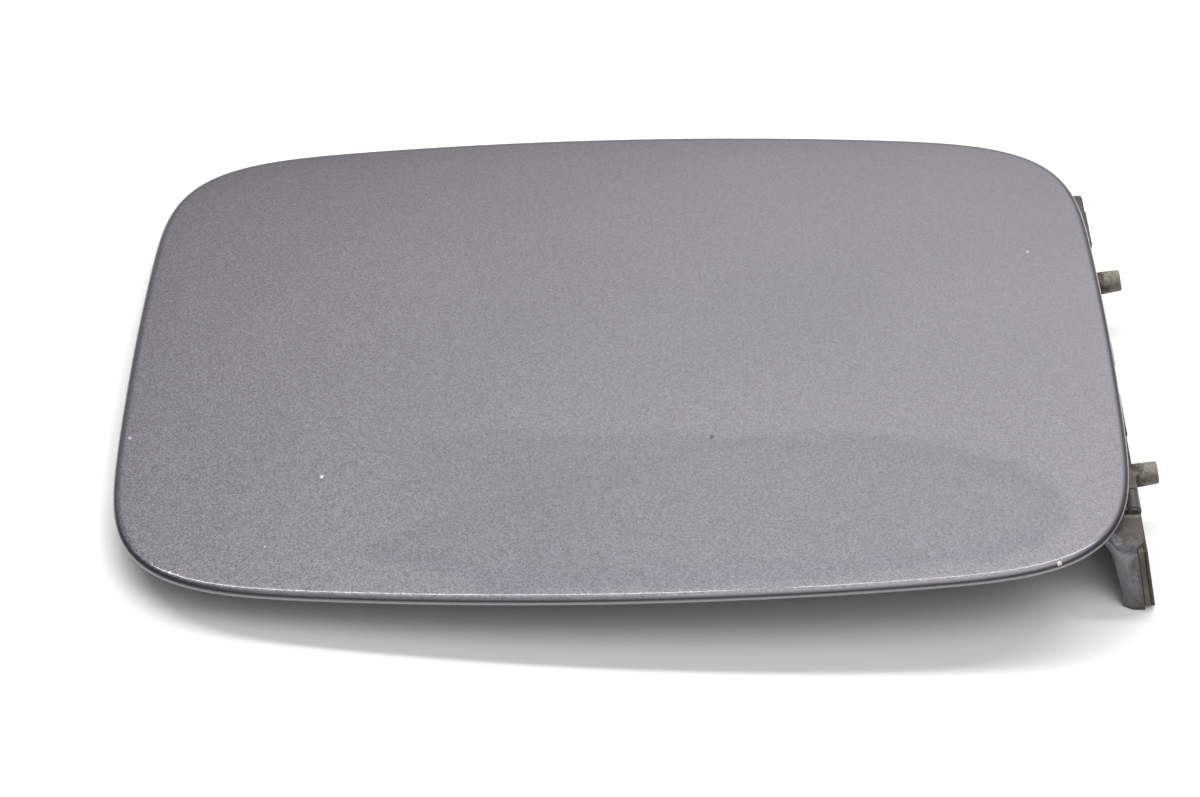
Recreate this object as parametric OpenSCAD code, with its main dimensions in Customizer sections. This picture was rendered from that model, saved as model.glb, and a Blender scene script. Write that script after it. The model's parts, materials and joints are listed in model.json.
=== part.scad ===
// Car fuel door: a crowned steel lid on a spring hinge, with its latch striker and mounting plugs.
// The lid lies as it would on a table, top side up, on its hinge feet and its two rubber buffers.
// Lid coordinates: origin at the top of the lid's middle, +X towards the hinge edge, +Z up.

/* [Lid outline] */
// Length of the lid, from latch edge to hinge edge
lid_l = 200; // [180:1:220]
// Width of the lid at its middle
lid_w = 150; // [140:1:165]
// Reach of a corner's curve along both of its edges
corner_r = 50; // [46:1:54]
// Squareness of a corner's curve, where 2 is a round one
corner_power = 4.5; // [4:0.1:5]
// How far the hinge and latch edges fall back at the corners
end_bow = 1.9; // [1:0.1:3]
// How far the long edges fall back at the corners
side_bow = 7.25; // [5:0.05:9]
// Crown of the lid along its length
crown_l = 0.8; // [0.4:0.1:1.2]
// Crown of the lid across its width
crown_w = 2.8; // [2:0.1:3.2]

/* [Outer skin and hem] */
// Thickness of the painted outer skin
skin_t = 0.7; // [0.6:0.05:0.9]
// Room inside the hem for the inner panel's rim
hem_gap = 0.8; // [0.8:0.05:1.3]
// Width of the folded hem
hem_w = 8; // [6:0.5:9]

/* [Inner panel] */
// Thickness of the inner panel
panel_t = 0.6; // [0.5:0.05:0.75]
// Width of the inner panel's rim, from the lid's edge
rim_w = 11; // [10.5:0.5:12]
// Width of the slope from the rim to the floor
slope_w = 4; // [3:0.5:5]
// Depth of the floor's underside below the top of the lid
floor_d = 4.9; // [4.8:0.1:5.3]
// Share of the floor taken by the raised middle pad
pad_share = 0.42; // [0.3:0.02:0.46]
// Height of the raised middle pad
pad_h = 1; // [0.5:0.1:1.2]
// Radius of the four drain holes
drain_r = 4; // [2:0.5:5]

/* [Hinge] */
// Width of the hinge, end leg to end leg
hinge_w = 116; // [110:1:120]
// Distance of the hinge pin's axis inside the hinge edge
axis_in = 0.4; // [0:0.1:0.8]
// Depth of the hinge pin's axis below the top of the lid
axis_d = 7.6; // [7.4:0.1:8]
// Reach of the hinge's feet below the pin's axis
leg_d = 16.9; // [15:0.1:18]
// Radius of the hinge pin
pin_r = 0.76; // [0.7:0.02:0.8]
// Running clearance round the pin
pin_play = 0.04; // [0.02:0.01:0.08]
// Wall of the rolled knuckles
knuckle_t = 0.7; // [0.6:0.05:0.75]
// Lean of the mounting leaf away from the lid
lean = 10; // [7:0.1:12]
// Gap between neighbouring pieces of the hinge
hinge_gap = 0.3; // [0.2:0.05:0.4]

/* [Hinge bracket] */
// Thickness of the hinge bracket
bracket_t = 1; // [0.8:0.1:1.2]
// Length of the bracket's welding pads
weld_l = 22; // [16:1:26]
// Width of the bracket across its welding pads
weld_w = 92; // [80:1:96]
// Step down from the welding pads to the hinge strip
joggle_d = 2; // [1.6:0.1:2.2]
// Bend radius where the strip turns down into the legs
leg_bend_r = 5; // [3:0.5:6]
// Width of each leg at its foot
foot_w = 4.5; // [4:0.1:5]
// How much wider each leg is at its top
leg_spread = 6.4; // [5:0.1:8]
// Angle by which the leg's free edge is turned back
edge_turn = 32; // [15:1:40]
// Distance of the turned edge's crease from the free side of the foot
crease_in = 2.1; // [1.4:0.1:2.6]
// Lean of the crease towards the lid as it rises
crease_lean = 11; // [6:1:18]

/* [Hinge leaf and gasket] */
// Thickness of the mounting leaf
leaf_t = 1; // [0.8:0.1:1.2]
// Radius of the stiffening bead pressed into the leaf
bead_r = 1.5; // [1.2:0.1:1.8]
// Corner radius at the leaf's foot
leaf_corner_r = 2.5; // [1:0.5:4]
// Thickness of the gasket
gasket_t = 0.8; // [0.5:0.1:1]

/* [Mounting plugs] */
// Distance between the two plugs
plug_pitch = 62.6; // [58:0.1:66]
// Drop of the plugs below the pin's axis, along the leaf
plug_drop = 6; // [5:0.1:6.5]
// Radius of a plug's shank
plug_r = 2.4; // [2:0.1:2.5]
// Length of a plug outside the gasket
plug_l = 4.9; // [4:0.1:7]
// Radius of a plug's inner flange
plug_flange_r = 3; // [2.8:0.1:3.2]
// Thickness of a plug's inner flange
plug_flange_t = 1; // [0.8:0.1:1.2]
// Radius of the screw in a plug
screw_r = 1.2; // [1:0.05:1.4]
// Radius of the screw's head
screw_head_r = 2.6; // [2.2:0.1:2.8]
// Height of the screw's head
screw_head_h = 1.6; // [1.2:0.1:1.8]

/* [Spring] */
// Radius of the spring wire
wire_r = 0.4; // [0.3:0.05:0.45]
// Turns of the spring's coil
spring_turns = 8; // [5:1:9]
// Length of the spring's leg under the lid
spring_reach = 13; // [9:0.5:16]

/* [Latch striker] */
// Thickness of the striker
striker_t = 1.2; // [1:0.1:1.5]
// Width of the striker's base
striker_w = 26; // [24:1:32]
// Length of the striker's base
striker_l = 15; // [13:0.5:18]
// Width of the striker's tab
tab_w = 13; // [10:0.5:16]
// Depth of the tab below the inner panel
tab_d = 7; // [6.6:0.1:7.2]
// Radius of the latch pin's eye
eye_r = 2.2; // [1.5:0.1:2.3]
// Radius of a rivet's shank
rivet_r = 1.2; // [1:0.1:1.5]

/* [Buffers] */
// Distance of the buffers from the latch edge
buffer_inset = 28; // [26:0.5:34]
// Distance between the two buffers
buffer_pitch = 84; // [70:1:88]
// Radius of a buffer at its base
buffer_r = 5; // [4:0.5:6]
// Height of a buffer below the inner panel
buffer_h = 8.25; // [7.6:0.05:9]

/* [Hidden] */
$fn = 48;

paint = [0.55, 0.54, 0.57];
primer = [0.42, 0.42, 0.44];
zinc = [0.62, 0.60, 0.54];
nylon = [0.72, 0.67, 0.56];
rubber = [0.13, 0.13, 0.14];

corner_steps = 16;
run_steps = [6, 4];
half_l = lid_l / 2;
half_w = lid_w / 2;
hem_t = 2 * skin_t + hem_gap;
hem_r = hem_t / 2;
flat_zone = 12;
rim_play = (hem_gap - panel_t) / 2;
rim_d = skin_t + rim_play;
rim_inset = hem_r + 0.6;
eps = 0.01;

axis_x = half_l - axis_in;
bore_r = pin_r + pin_play;
knuckle_r = bore_r + knuckle_t;
strip_top = floor_d + joggle_d;
strip_back = knuckle_r + 2 * hinge_gap;
foot_z = -(axis_d + leg_d);
foot_w_along = leg_d / cos(lean);
leg_offset = leaf_t / 2 + hinge_gap;

// Spans along the hinge, measured from its middle: each pair is a near and a far end.
plug_clear = plug_flange_r + 2;
knuckle_play = 0.2;
spring_room = 13;
inner_lid_span = [spring_room, spring_room + 6.3];
inner_leaf_span = [inner_lid_span[1] + knuckle_play, plug_pitch / 2 - plug_clear - 1];
outer_leaf_span = [plug_pitch / 2 + plug_clear + 1, plug_pitch / 2 + plug_clear + 6.7];
outer_lid_span = [outer_leaf_span[1] + knuckle_play, outer_leaf_span[1] + knuckle_play + 5.3];
pin_head_t = 0.6;
pin_half = outer_lid_span[1] + 0.1;
end_span = pin_half + pin_head_t + 0.6;

plug_collar_r = plug_r + 0.5;
plug_play = 0.1;

striker_x = -(half_l - rim_w - slope_w - 2);
striker_corner_r = 3;
tab_corner_r = 3;
eye_d = 4;
rivet_play = 0.05;
rivet_head_r = 2 * rivet_r;
rivet_head_h = 0.8;
rivet_y = striker_w / 2 - rivet_head_r - 1.2;
rivet_x = striker_x + striker_l - rivet_head_r - 1.2;

buffer_x = -(half_l - buffer_inset);
buffer_tip_r = 3.4;
buffer_stem_r = 2;
buffer_barb_r = 2.7;
buffer_barb_h = 1.1;

// The lid lies with its feet and buffers on the table, so its hinge side is a little higher.
foot_x = axis_x + leg_d * tan(lean) - leg_offset / cos(lean) - foot_w;
lie_angle = atan2(-foot_z - floor_d - buffer_h, foot_x - buffer_x);
foot_low = foot_x * sin(lie_angle) + foot_z * cos(lie_angle);
plug_tip = leaf_t / 2 + gasket_t + plug_l;
tip_x = axis_x + plug_tip * cos(lean) + plug_drop * sin(lean);
tip_z = -axis_d + plug_tip * sin(lean) - plug_drop * cos(lean);
far_right = tip_x * cos(lie_angle) - tip_z * sin(lie_angle) + (plug_r - 0.3) * sin(lean + lie_angle);
far_left = half_l * cos(lie_angle) - (crown_l + hem_r) * sin(lie_angle);
mid_x = (far_right - far_left) / 2;

// Moves a piece from lid coordinates to where it lies, with the origin under the middle of its box.
module lying() {
    translate([-mid_x, 0, -foot_low]) rotate([0, -lie_angle, 0]) children();
}

// Leaf coordinates: origin on the pin's axis, +X out through the leaf, -Z down along it.
module on_leaf() {
    translate([axis_x, 0, -axis_d]) rotate([0, -lean, 0]) children();
}

// A prism along Y between two distances from the hinge's middle, on both sides of it.
module both_ends() {
    children();
    mirror([0, 1, 0]) children();
}

// Height of the crowned top surface.
function crown(x, y) = -crown_l * pow(x / half_l, 2) - crown_w * pow(y / half_w, 2);

function signed_pow(v, e) = sign(v) * pow(abs(v), e);

// Corner k of the plan, from the hinge side anticlockwise: a quarter of a superellipse.
corner_sides = [[1, 1], [-1, 1], [-1, -1], [1, -1]];
function corner_points(k) = [for (i = [0 : corner_steps]) let (a = 90 * (k + i / corner_steps)) [
    corner_sides[k].x * (half_l - corner_r) + corner_r * signed_pow(cos(a), 2 / corner_power),
    corner_sides[k].y * (half_w - corner_r) + corner_r * signed_pow(sin(a), 2 / corner_power)]];

// Points of the straight run that follows corner k.
function run_points(k) =
    let (from = corner_points(k)[corner_steps], to = corner_points((k + 1) % 4)[0], n = run_steps[k % 2])
    [for (i = [1 : n - 1]) from + i / n * (to - from)];

// Lid's edge in plan, whose sides fall back towards the corners, and the way inwards at each point.
lid_edge = [for (k = [0 : 3]) for (p = concat(corner_points(k), run_points(k))) [
    p.x - end_bow * pow(p.y / half_w, 2) * p.x / half_l,
    p.y - side_bow * pow(p.x / half_l, 2) * p.y / half_w]];
edge_count = len(lid_edge);
inwards = [for (j = [0 : edge_count - 1])
    let (along = lid_edge[(j + 1) % edge_count] - lid_edge[(j - 1 + edge_count) % edge_count])
    [-along.y, along.x] / norm(along)];

// A station is [share, inset, depth, follow]: a ring at a share of the inset edge,
// at a depth below the crowned top (follow 1) or below the level of its middle (follow 0).
function station_point(j, s) =
    let (p = s[0] * (lid_edge[j] + s[1] * inwards[j]))
    [p.x, p.y, s[3] * crown(p.x, p.y) - s[2]];

// A closed sheet through its stations, from the middle of its top to the middle of its underside.
module sheet(stations) {
    n = edge_count;
    rings = len(stations);
    top = [0, 0, -stations[0][2]];
    under = [0, 0, -stations[rings - 1][2]];
    points = [top, for (s = stations) for (j = [0 : n - 1]) station_point(j, s), under];
    last = len(points) - 1;
    faces = [
        for (j = [0 : n - 1]) [0, 1 + (j + 1) % n, 1 + j],
        for (r = [0 : rings - 2]) for (j = [0 : n - 1]) each
            let (a = 1 + r * n + j, b = 1 + r * n + (j + 1) % n) [[a, b, b + n], [a, b + n, a + n]],
        for (j = [0 : n - 1]) [last, last - n + j, last - n + (j + 1) % n]
    ];
    polyhedron(points = points, faces = faces);
}

// Stations round an arc in the hem: r is its radius and angles run from its top outwards.
function hem_arc(r, angles) = [for (a = angles) [1, hem_r - r * cos(a), hem_r - r * sin(a), 1]];

module outer_skin() {
    shares = [0.3, 0.6, 0.85];
    fold_r = hem_gap / 2;
    stations = [
        for (k = shares) [k, flat_zone, 0, 1],
        [1, flat_zone, 0, 1],
        each hem_arc(hem_r, [90, 60, 30, 0, -30, -60, -90]),
        [1, hem_w, hem_t, 1],
        [1, hem_w, hem_t - skin_t, 1],
        each hem_arc(fold_r, [-90, 0, 90]),
        [1, flat_zone, skin_t, 1],
        for (k = [0.85, 0.6, 0.3]) [k, flat_zone, skin_t, 1]
    ];
    color(paint) lying() sheet(stations);
}

module inner_panel() {
    floor_in = rim_w + slope_w;
    floor_top = floor_d - panel_t;
    drain_x = 0.6 * (half_l - floor_in);
    drain_y = 0.62 * (half_w - floor_in);
    stations = [
        [pad_share * 0.85, floor_in, floor_top - pad_h, 0],
        [pad_share, floor_in, floor_top, 0],
        [1, floor_in, floor_top, 0],
        [1, rim_w, rim_d, 1],
        [1, rim_inset, rim_d, 1],
        [1, rim_inset, rim_d + panel_t, 1],
        [1, rim_w, rim_d + panel_t, 1],
        [1, floor_in, floor_d, 0],
        [pad_share, floor_in, floor_d, 0],
        [pad_share * 0.85, floor_in, floor_d - pad_h, 0]
    ];
    color(primer) lying() difference() {
        sheet(stations);
        for (x = [-drain_x, drain_x]) for (y = [-drain_y, drain_y])
            translate([x, y, -floor_d - 1]) cylinder(r = drain_r, h = panel_t + 2);
        for (side = [-1, 1]) {
            translate([buffer_x, side * buffer_pitch / 2, -floor_d - 1])
                cylinder(r = buffer_stem_r + rivet_play, h = panel_t + 2);
            translate([rivet_x, side * rivet_y, -floor_d - 1])
                cylinder(r = rivet_r + rivet_play, h = panel_t + 2);
        }
    }
}

// Outline of the pressed strip and leg seen from the end: X along, Z up as the second value.
function leg_edge_x(f) = foot_x - leg_spread * pow(f, 1.8);

// Line of the leg beside the leaf, at a distance down it from the pin's axis.
function leaf_side(w) = [axis_x - leg_offset * cos(lean) + w * sin(lean),
                         -axis_d - leg_offset * sin(lean) - w * cos(lean)];

module leg_outline() {
    edge_points = 9;
    top_z = -strip_top - bracket_t;
    foot_sag = 0.35;
    right = leaf_side(foot_w_along - foot_sag);
    polygon([
        [foot_x, foot_z],
        for (i = [1 : edge_points]) let (f = i / edge_points)
            [leg_edge_x(f), foot_z + f * (top_z - foot_z)],
        [leg_edge_x(1), -strip_top + 1],
        [axis_x + 1, -strip_top + 1],
        [axis_x + 1, top_z],
        leaf_side(1.5),
        right,
        [(foot_x + right.x) / 2, foot_z - eps]
    ]);
}

// Arch of the pressing seen along the hinge: a flat top with rounded shoulders.
module arch(half, r, drop) {
    for (side = [-1, 1]) translate([side * (half - r), -r]) circle(r = r);
    translate([-half + r, -r]) square([2 * (half - r), r]);
    translate([-half, -drop]) square([2 * half, drop - r]);
}

module extrude_y(length) {
    translate([0, length / 2, 0]) rotate([90, 0, 0]) linear_extrude(length) children();
}

// The strip's shoulders and the straight legs, before the free edges are turned back.
module strip_and_legs() {
    drop = -foot_z - strip_top + 1;
    difference() {
        pressed_arch(drop);
        translate([axis_x - strip_back, -end_span, -strip_top - drop])
            cube([2 * strip_back, 2 * end_span, 2 * drop]);
    }
}

module pressed_arch(drop) {
    intersection() {
        translate([leg_edge_x(1), 0, -strip_top]) rotate([90, 0, 90])
            linear_extrude(axis_x + 2 - leg_edge_x(1)) difference() {
                arch(hinge_w / 2, leg_bend_r, drop);
                translate([0, -bracket_t])
                    arch(hinge_w / 2 - bracket_t, leg_bend_r - bracket_t, drop);
            }
        extrude_y(hinge_w + 2) leg_outline();
    }
}

// The crease runs up the flat of the leg from its foot to just below the bend.
crease_x = foot_x + crease_in;
crease_h = (-(strip_top + leg_bend_r + 0.4) - foot_z) / cos(crease_lean);

module at_crease() {
    translate([crease_x, -hinge_w / 2, foot_z]) rotate([0, -crease_lean, 0]) children();
}

module from_crease() {
    rotate([0, crease_lean, 0]) translate([-crease_x, hinge_w / 2, -foot_z]) children();
}

// Room on the free side of the front leg's crease, in lid coordinates.
module free_side() {
    below = 3;
    at_crease() translate([-leg_spread - 6, -1, -below])
        cube([leg_spread + 6, bracket_t + 3, crease_h + below]);
}

module hinge_bracket() {
    color(paint) lying() {
        difference() {
            union() {
                bracket_plate();
                difference() {
                    strip_and_legs();
                    both_ends() free_side();
                }
                both_ends() at_crease() rotate([0, 0, -edge_turn]) from_crease()
                    intersection() {
                        strip_and_legs();
                        free_side();
                    }
                both_ends() for (span = [inner_lid_span, outer_lid_span]) knuckle(span, 180);
            }
            translate([axis_x, 0, -axis_d]) rotate([90, 0, 0])
                cylinder(r = bore_r, h = 2 * end_span, center = true);
        }
    }
}

// Welding pads, joggle and hinge strip, with scallops between the pads.
module bracket_plate() {
    weld_end = leg_edge_x(1) - 6 - joggle_d;
    weld_start = weld_end - weld_l;
    joggle_end = weld_end + 2 * joggle_d;
    strip_end = axis_x - strip_back;
    scallop_r = 7;
    difference() {
        union() {
            extrude_y(weld_w) polygon([
                [weld_start, -floor_d],
                [weld_end, -floor_d],
                [joggle_end, -strip_top],
                [strip_end, -strip_top],
                [strip_end, -strip_top - bracket_t],
                [joggle_end - bracket_t / 3, -strip_top - bracket_t],
                [weld_end - bracket_t / 3, -floor_d - bracket_t],
                [weld_start, -floor_d - bracket_t]
            ]);
            translate([joggle_end, -end_span - 2, -strip_top - bracket_t])
                cube([strip_end - joggle_end, 2 * (end_span + 2), bracket_t]);
        }
        both_ends() translate([weld_start, weld_w / 4 - scallop_r / 2, -strip_top - bracket_t]) {
            translate([scallop_r, 0, 0]) cylinder(r = scallop_r, h = 2 * strip_top);
            translate([-1, -scallop_r, 0]) cube([scallop_r + 1, 2 * scallop_r, 2 * strip_top]);
        }
    }
}

// A rolled knuckle over a span of the hinge, with its tab leaving the axis at an angle.
module knuckle(span, direction) {
    reach = strip_back + 1;
    translate([axis_x, span[0], -axis_d]) {
        rotate([-90, 0, 0]) cylinder(r = knuckle_r, h = span[1] - span[0]);
        rotate([0, direction - 180, 0])
            translate([-reach, 0, axis_d - strip_top - bracket_t])
                cube([reach, span[1] - span[0], bracket_t]);
    }
}

module latch_striker() {
    tab_len = tab_d - striker_t;
    bend_r = striker_t + 0.8;
    color(zinc) lying() translate([striker_x, 0, -floor_d]) difference() {
        union() {
            translate([bend_r, -striker_w / 2, -striker_t])
                rounded_plate(striker_l - bend_r, striker_w, striker_t, striker_corner_r);
            intersection() {
                extrude_y(tab_w) difference() {
                    union() {
                        translate([bend_r, -bend_r]) circle(r = bend_r);
                        translate([0, -tab_d]) square([striker_t, tab_d - bend_r]);
                    }
                    translate([bend_r, -bend_r]) circle(r = bend_r - striker_t);
                    translate([striker_t, -tab_d - 1]) square([bend_r, tab_d + 1 - bend_r]);
                    translate([bend_r, -2 * bend_r]) square([bend_r, 2 * bend_r + 1]);
                }
                tab_shape();
            }
        }
        translate([-1, 0, -eye_d]) rotate([0, 90, 0]) cylinder(r = eye_r, h = striker_t + 2);
        for (side = [-1, 1]) translate([rivet_x - striker_x, side * rivet_y, -striker_t - 1])
            cylinder(r = rivet_r + rivet_play, h = striker_t + 2);
    }
}

// A flat plate in the XY plane whose far corners are rounded.
module rounded_plate(l, w, t, r) {
    cube([l - r, w, t]);
    translate([0, r, 0]) cube([l, w - 2 * r, t]);
    for (y = [r, w - r]) translate([l - r, y, 0]) cylinder(r = r, h = t);
}

// Room that the striker's tab fills: straight down, with rounded lower corners.
module tab_shape() {
    depth = 4;
    translate([-1, 0, 0]) rotate([90, 0, 90]) linear_extrude(depth) {
        translate([-tab_w / 2, -tab_d + tab_corner_r]) square([tab_w, tab_d]);
        translate([-tab_w / 2 + tab_corner_r, -tab_d]) square([tab_w - 2 * tab_corner_r, tab_d]);
        for (side = [-1, 1]) translate([side * (tab_w / 2 - tab_corner_r), -tab_d + tab_corner_r])
            circle(r = tab_corner_r);
    }
}

module striker_rivets() {
    grip = striker_t + panel_t;
    color(zinc) lying() for (side = [-1, 1])
        translate([rivet_x, side * rivet_y, -floor_d - striker_t]) {
            rotate([180, 0, 0]) rivet_head();
            cylinder(r = rivet_r, h = grip);
            translate([0, 0, grip]) cylinder(r = rivet_head_r - 0.6, h = rivet_head_h);
        }
}

// A low domed head that stands on the XY plane.
module rivet_head() {
    dome_r = (pow(rivet_head_r, 2) + pow(rivet_head_h, 2)) / (2 * rivet_head_h);
    rotate_extrude() intersection() {
        translate([0, rivet_head_h - dome_r]) circle(r = dome_r, $fn = 96);
        square([rivet_head_r, rivet_head_h]);
    }
}

// A push-in rubber buffer: stem and barb through the panel, cone and domed tip below it.
module buffer(side) {
    collar_h = 1.2;
    tip_centre = buffer_h - buffer_tip_r;
    color(rubber) lying() translate([buffer_x, side * buffer_pitch / 2, -floor_d]) {
        rotate_extrude() polygon([
            [0, panel_t + buffer_barb_h],
            [buffer_stem_r, panel_t + buffer_barb_h],
            [buffer_barb_r, panel_t],
            [buffer_stem_r, panel_t],
            [buffer_stem_r, 0],
            [buffer_r, 0],
            [buffer_r, -collar_h],
            [buffer_r - 0.8, -collar_h],
            [buffer_tip_r, -tip_centre],
            [0, -tip_centre]
        ]);
        translate([0, 0, -tip_centre]) sphere(r = buffer_tip_r);
    }
}

module buffer_front() {
    buffer(-1);
}

module buffer_rear() {
    buffer(1);
}

module plug_holes(r) {
    for (side = [-1, 1]) translate([-3, side * plug_pitch / 2, -plug_drop]) rotate([0, 90, 0])
        cylinder(r = r, h = 6);
}

// A plate of the leaf's shape between two distances from the leaf's middle plane.
module leaf_plate(from, to, margin, r) {
    top = knuckle_r + hinge_gap + margin;
    half = hinge_w / 2 - margin;
    low = foot_w_along - margin;
    translate([from, 0, 0]) rotate([90, 0, 90]) linear_extrude(to - from) {
        translate([-half, -low + r]) square([2 * half, low - r - top]);
        translate([-half + r, -low]) square([2 * (half - r), low - top]);
        for (side = [-1, 1]) translate([side * (half - r), -low + r]) circle(r = r);
    }
}

module hinge_leaf() {
    color(paint) lying() on_leaf() difference() {
        union() {
            difference() {
                union() {
                    leaf_plate(-leaf_t / 2, leaf_t / 2, 0, leaf_corner_r);
                    leaf_bead(bead_r);
                }
                leaf_bead(bead_r - 0.8 * leaf_t);
                translate([leaf_t / 2, -hinge_w / 2, -foot_w_along])
                    cube([bead_r + 1, hinge_w, foot_w_along]);
            }
            both_ends() for (span = [inner_leaf_span, outer_leaf_span]) translate([0, span[0], 0]) {
                rotate([-90, 0, 0]) cylinder(r = knuckle_r, h = span[1] - span[0]);
                translate([-leaf_t / 2, 0, -knuckle_r - 1])
                    cube([leaf_t, span[1] - span[0], knuckle_r + 1]);
            }
        }
        plug_holes(plug_r + plug_play);
        rotate([90, 0, 0]) cylinder(r = bore_r, h = hinge_w, center = true);
    }
}

// A round bar with ball ends along the leaf: the outside or the hollow of its pressed bead.
module leaf_bead(r) {
    half = hinge_w / 2 - 16;
    translate([leaf_t / 2 - 0.4, 0, -plug_drop - plug_flange_r - 3]) {
        rotate([90, 0, 0]) cylinder(r = r, h = 2 * half, center = true);
        for (side = [-1, 1]) translate([0, side * half, 0]) sphere(r = r);
    }
}

module leaf_gasket() {
    color(rubber) lying() on_leaf() difference() {
        leaf_plate(leaf_t / 2, leaf_t / 2 + gasket_t, 0.4, leaf_corner_r);
        plug_holes(plug_collar_r + plug_play);
    }
}

module hinge_pin() {
    head_r = knuckle_r - 0.2;
    color(zinc) lying() translate([axis_x, 0, -axis_d]) rotate([90, 0, 0]) {
        cylinder(r = pin_r, h = 2 * pin_half, center = true);
        for (side = [-1, 1]) translate([0, 0, side * (pin_half + pin_head_t / 2)])
            cylinder(r = head_r, h = pin_head_t, center = true);
    }
}

// A round wire through a list of points that never runs along Y.
module wire(path, r, sides) {
    count = len(path);
    function along(i) = path[min(i + 1, count - 1)] - path[max(i - 1, 0)];
    points = [for (i = [0 : count - 1]) let (
            t = along(i) / norm(along(i)),
            u = cross(t, [0, 1, 0]) / norm(cross(t, [0, 1, 0])),
            v = cross(t, u))
        for (k = [0 : sides - 1]) path[i] + r * (cos(360 * k / sides) * u + sin(360 * k / sides) * v)];
    faces = [
        [for (k = [0 : sides - 1]) k],
        for (i = [0 : count - 2]) for (k = [0 : sides - 1])
            [i * sides + k, (i + 1) * sides + k, (i + 1) * sides + (k + 1) % sides, i * sides + (k + 1) % sides],
        [for (k = [sides - 1 : -1 : 0]) (count - 1) * sides + k]
    ];
    polyhedron(points = points, faces = faces);
}

module hinge_spring() {
    coil_r = pin_r + wire_r + 0.15;
    turn_steps = 12;
    coil_w = 2 * wire_r + 0.06;
    coil_half = coil_w * spring_turns / 2;
    sweep = 360 * spring_turns + 270 - lean;
    steps = ceil(sweep / 360 * turn_steps);
    leaf_leg = 9;
    path = [
        [-coil_r * cos(lean) + leaf_leg * sin(lean), -coil_half, -coil_r * sin(lean) - leaf_leg * cos(lean)],
        for (i = [0 : steps]) let (a = 180 + lean - i / steps * sweep, f = i / steps)
            [coil_r * cos(a), coil_half * (2 * f - 1), coil_r * sin(a)],
        [-spring_reach, coil_half, -strip_top - bracket_t - wire_r - 0.1 + axis_d]
    ];
    color(zinc) lying() translate([axis_x, 0, -axis_d]) wire(path, wire_r, 8);
}

// A nylon plug: inner flange, neck through the leaf, collar level with the gasket and blunt shank.
module plug(side) {
    inside = -leaf_t / 2 - plug_flange_t;
    outside = leaf_t / 2 + gasket_t;
    tip = outside + plug_l;
    round_off = 0.3;
    color(nylon) lying() on_leaf() translate([0, side * plug_pitch / 2, -plug_drop])
        rotate([0, 90, 0]) rotate_extrude() polygon([
            [screw_r + 0.05, inside],
            [plug_flange_r, inside],
            [plug_flange_r, -leaf_t / 2],
            [plug_r, -leaf_t / 2],
            [plug_r, leaf_t / 2],
            [plug_collar_r, leaf_t / 2],
            [plug_collar_r, outside],
            [plug_r, outside],
            [plug_r, tip - round_off],
            [plug_r - round_off, tip],
            [0, tip],
            [0, tip - 1],
            [screw_r + 0.05, tip - 1]
        ]);
}

module plug_front() {
    plug(-1);
}

module plug_rear() {
    plug(1);
}

// A pan head screw driven into a plug from the lid's side, with a cross recess.
module plug_screw(side) {
    seat = -leaf_t / 2 - plug_flange_t;
    tip = leaf_t / 2 + gasket_t + plug_l - 1.6;
    dome_r = (pow(screw_head_r, 2) + pow(screw_head_h, 2)) / (2 * screw_head_h);
    slot_w = 0.7;
    slot_l = 2.8;
    color(zinc) lying() on_leaf() translate([0, side * plug_pitch / 2, -plug_drop]) rotate([0, 90, 0])
        difference() {
            union() {
                translate([0, 0, seat]) rotate([180, 0, 0]) rotate_extrude() intersection() {
                    translate([0, screw_head_h - dome_r]) circle(r = dome_r, $fn = 96);
                    square([screw_head_r, screw_head_h]);
                }
                translate([0, 0, seat - eps]) cylinder(r = screw_r, h = tip - seat);
            }
            translate([0, 0, seat - screw_head_h]) for (turn = [0, 90]) rotate([0, 0, turn])
                cube([slot_l, slot_w, 2.2], center = true);
        }
}

module plug_screw_front() {
    plug_screw(-1);
}

module plug_screw_rear() {
    plug_screw(1);
}

outer_skin();
inner_panel();
hinge_bracket();
latch_striker();
striker_rivets();
buffer_front();
buffer_rear();
hinge_leaf();
leaf_gasket();
hinge_pin();
hinge_spring();
plug_front();
plug_rear();
plug_screw_front();
plug_screw_rear();
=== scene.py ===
"""A car fuel door, lying top side up on a white table.

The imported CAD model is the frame. This script dresses it: a finely crowned lacquered lid with a rolled hem,
its pressed inner panel, the spring hinge with its legs, leaf and gasket, the nylon plugs, striker and buffers.

Shapes are worked out in lid millimetres: the origin is the top of the lid's middle, X runs towards the
hinge, Y along it and Z up. The Lie class turns them into the frame's metres.
"""

from __future__ import annotations

import json
import logging
import math
from dataclasses import dataclass, field
from enum import Enum
from typing import Any, Sequence

import bmesh
import bpy
import numpy as np
from mathutils import Matrix, Vector

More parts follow.
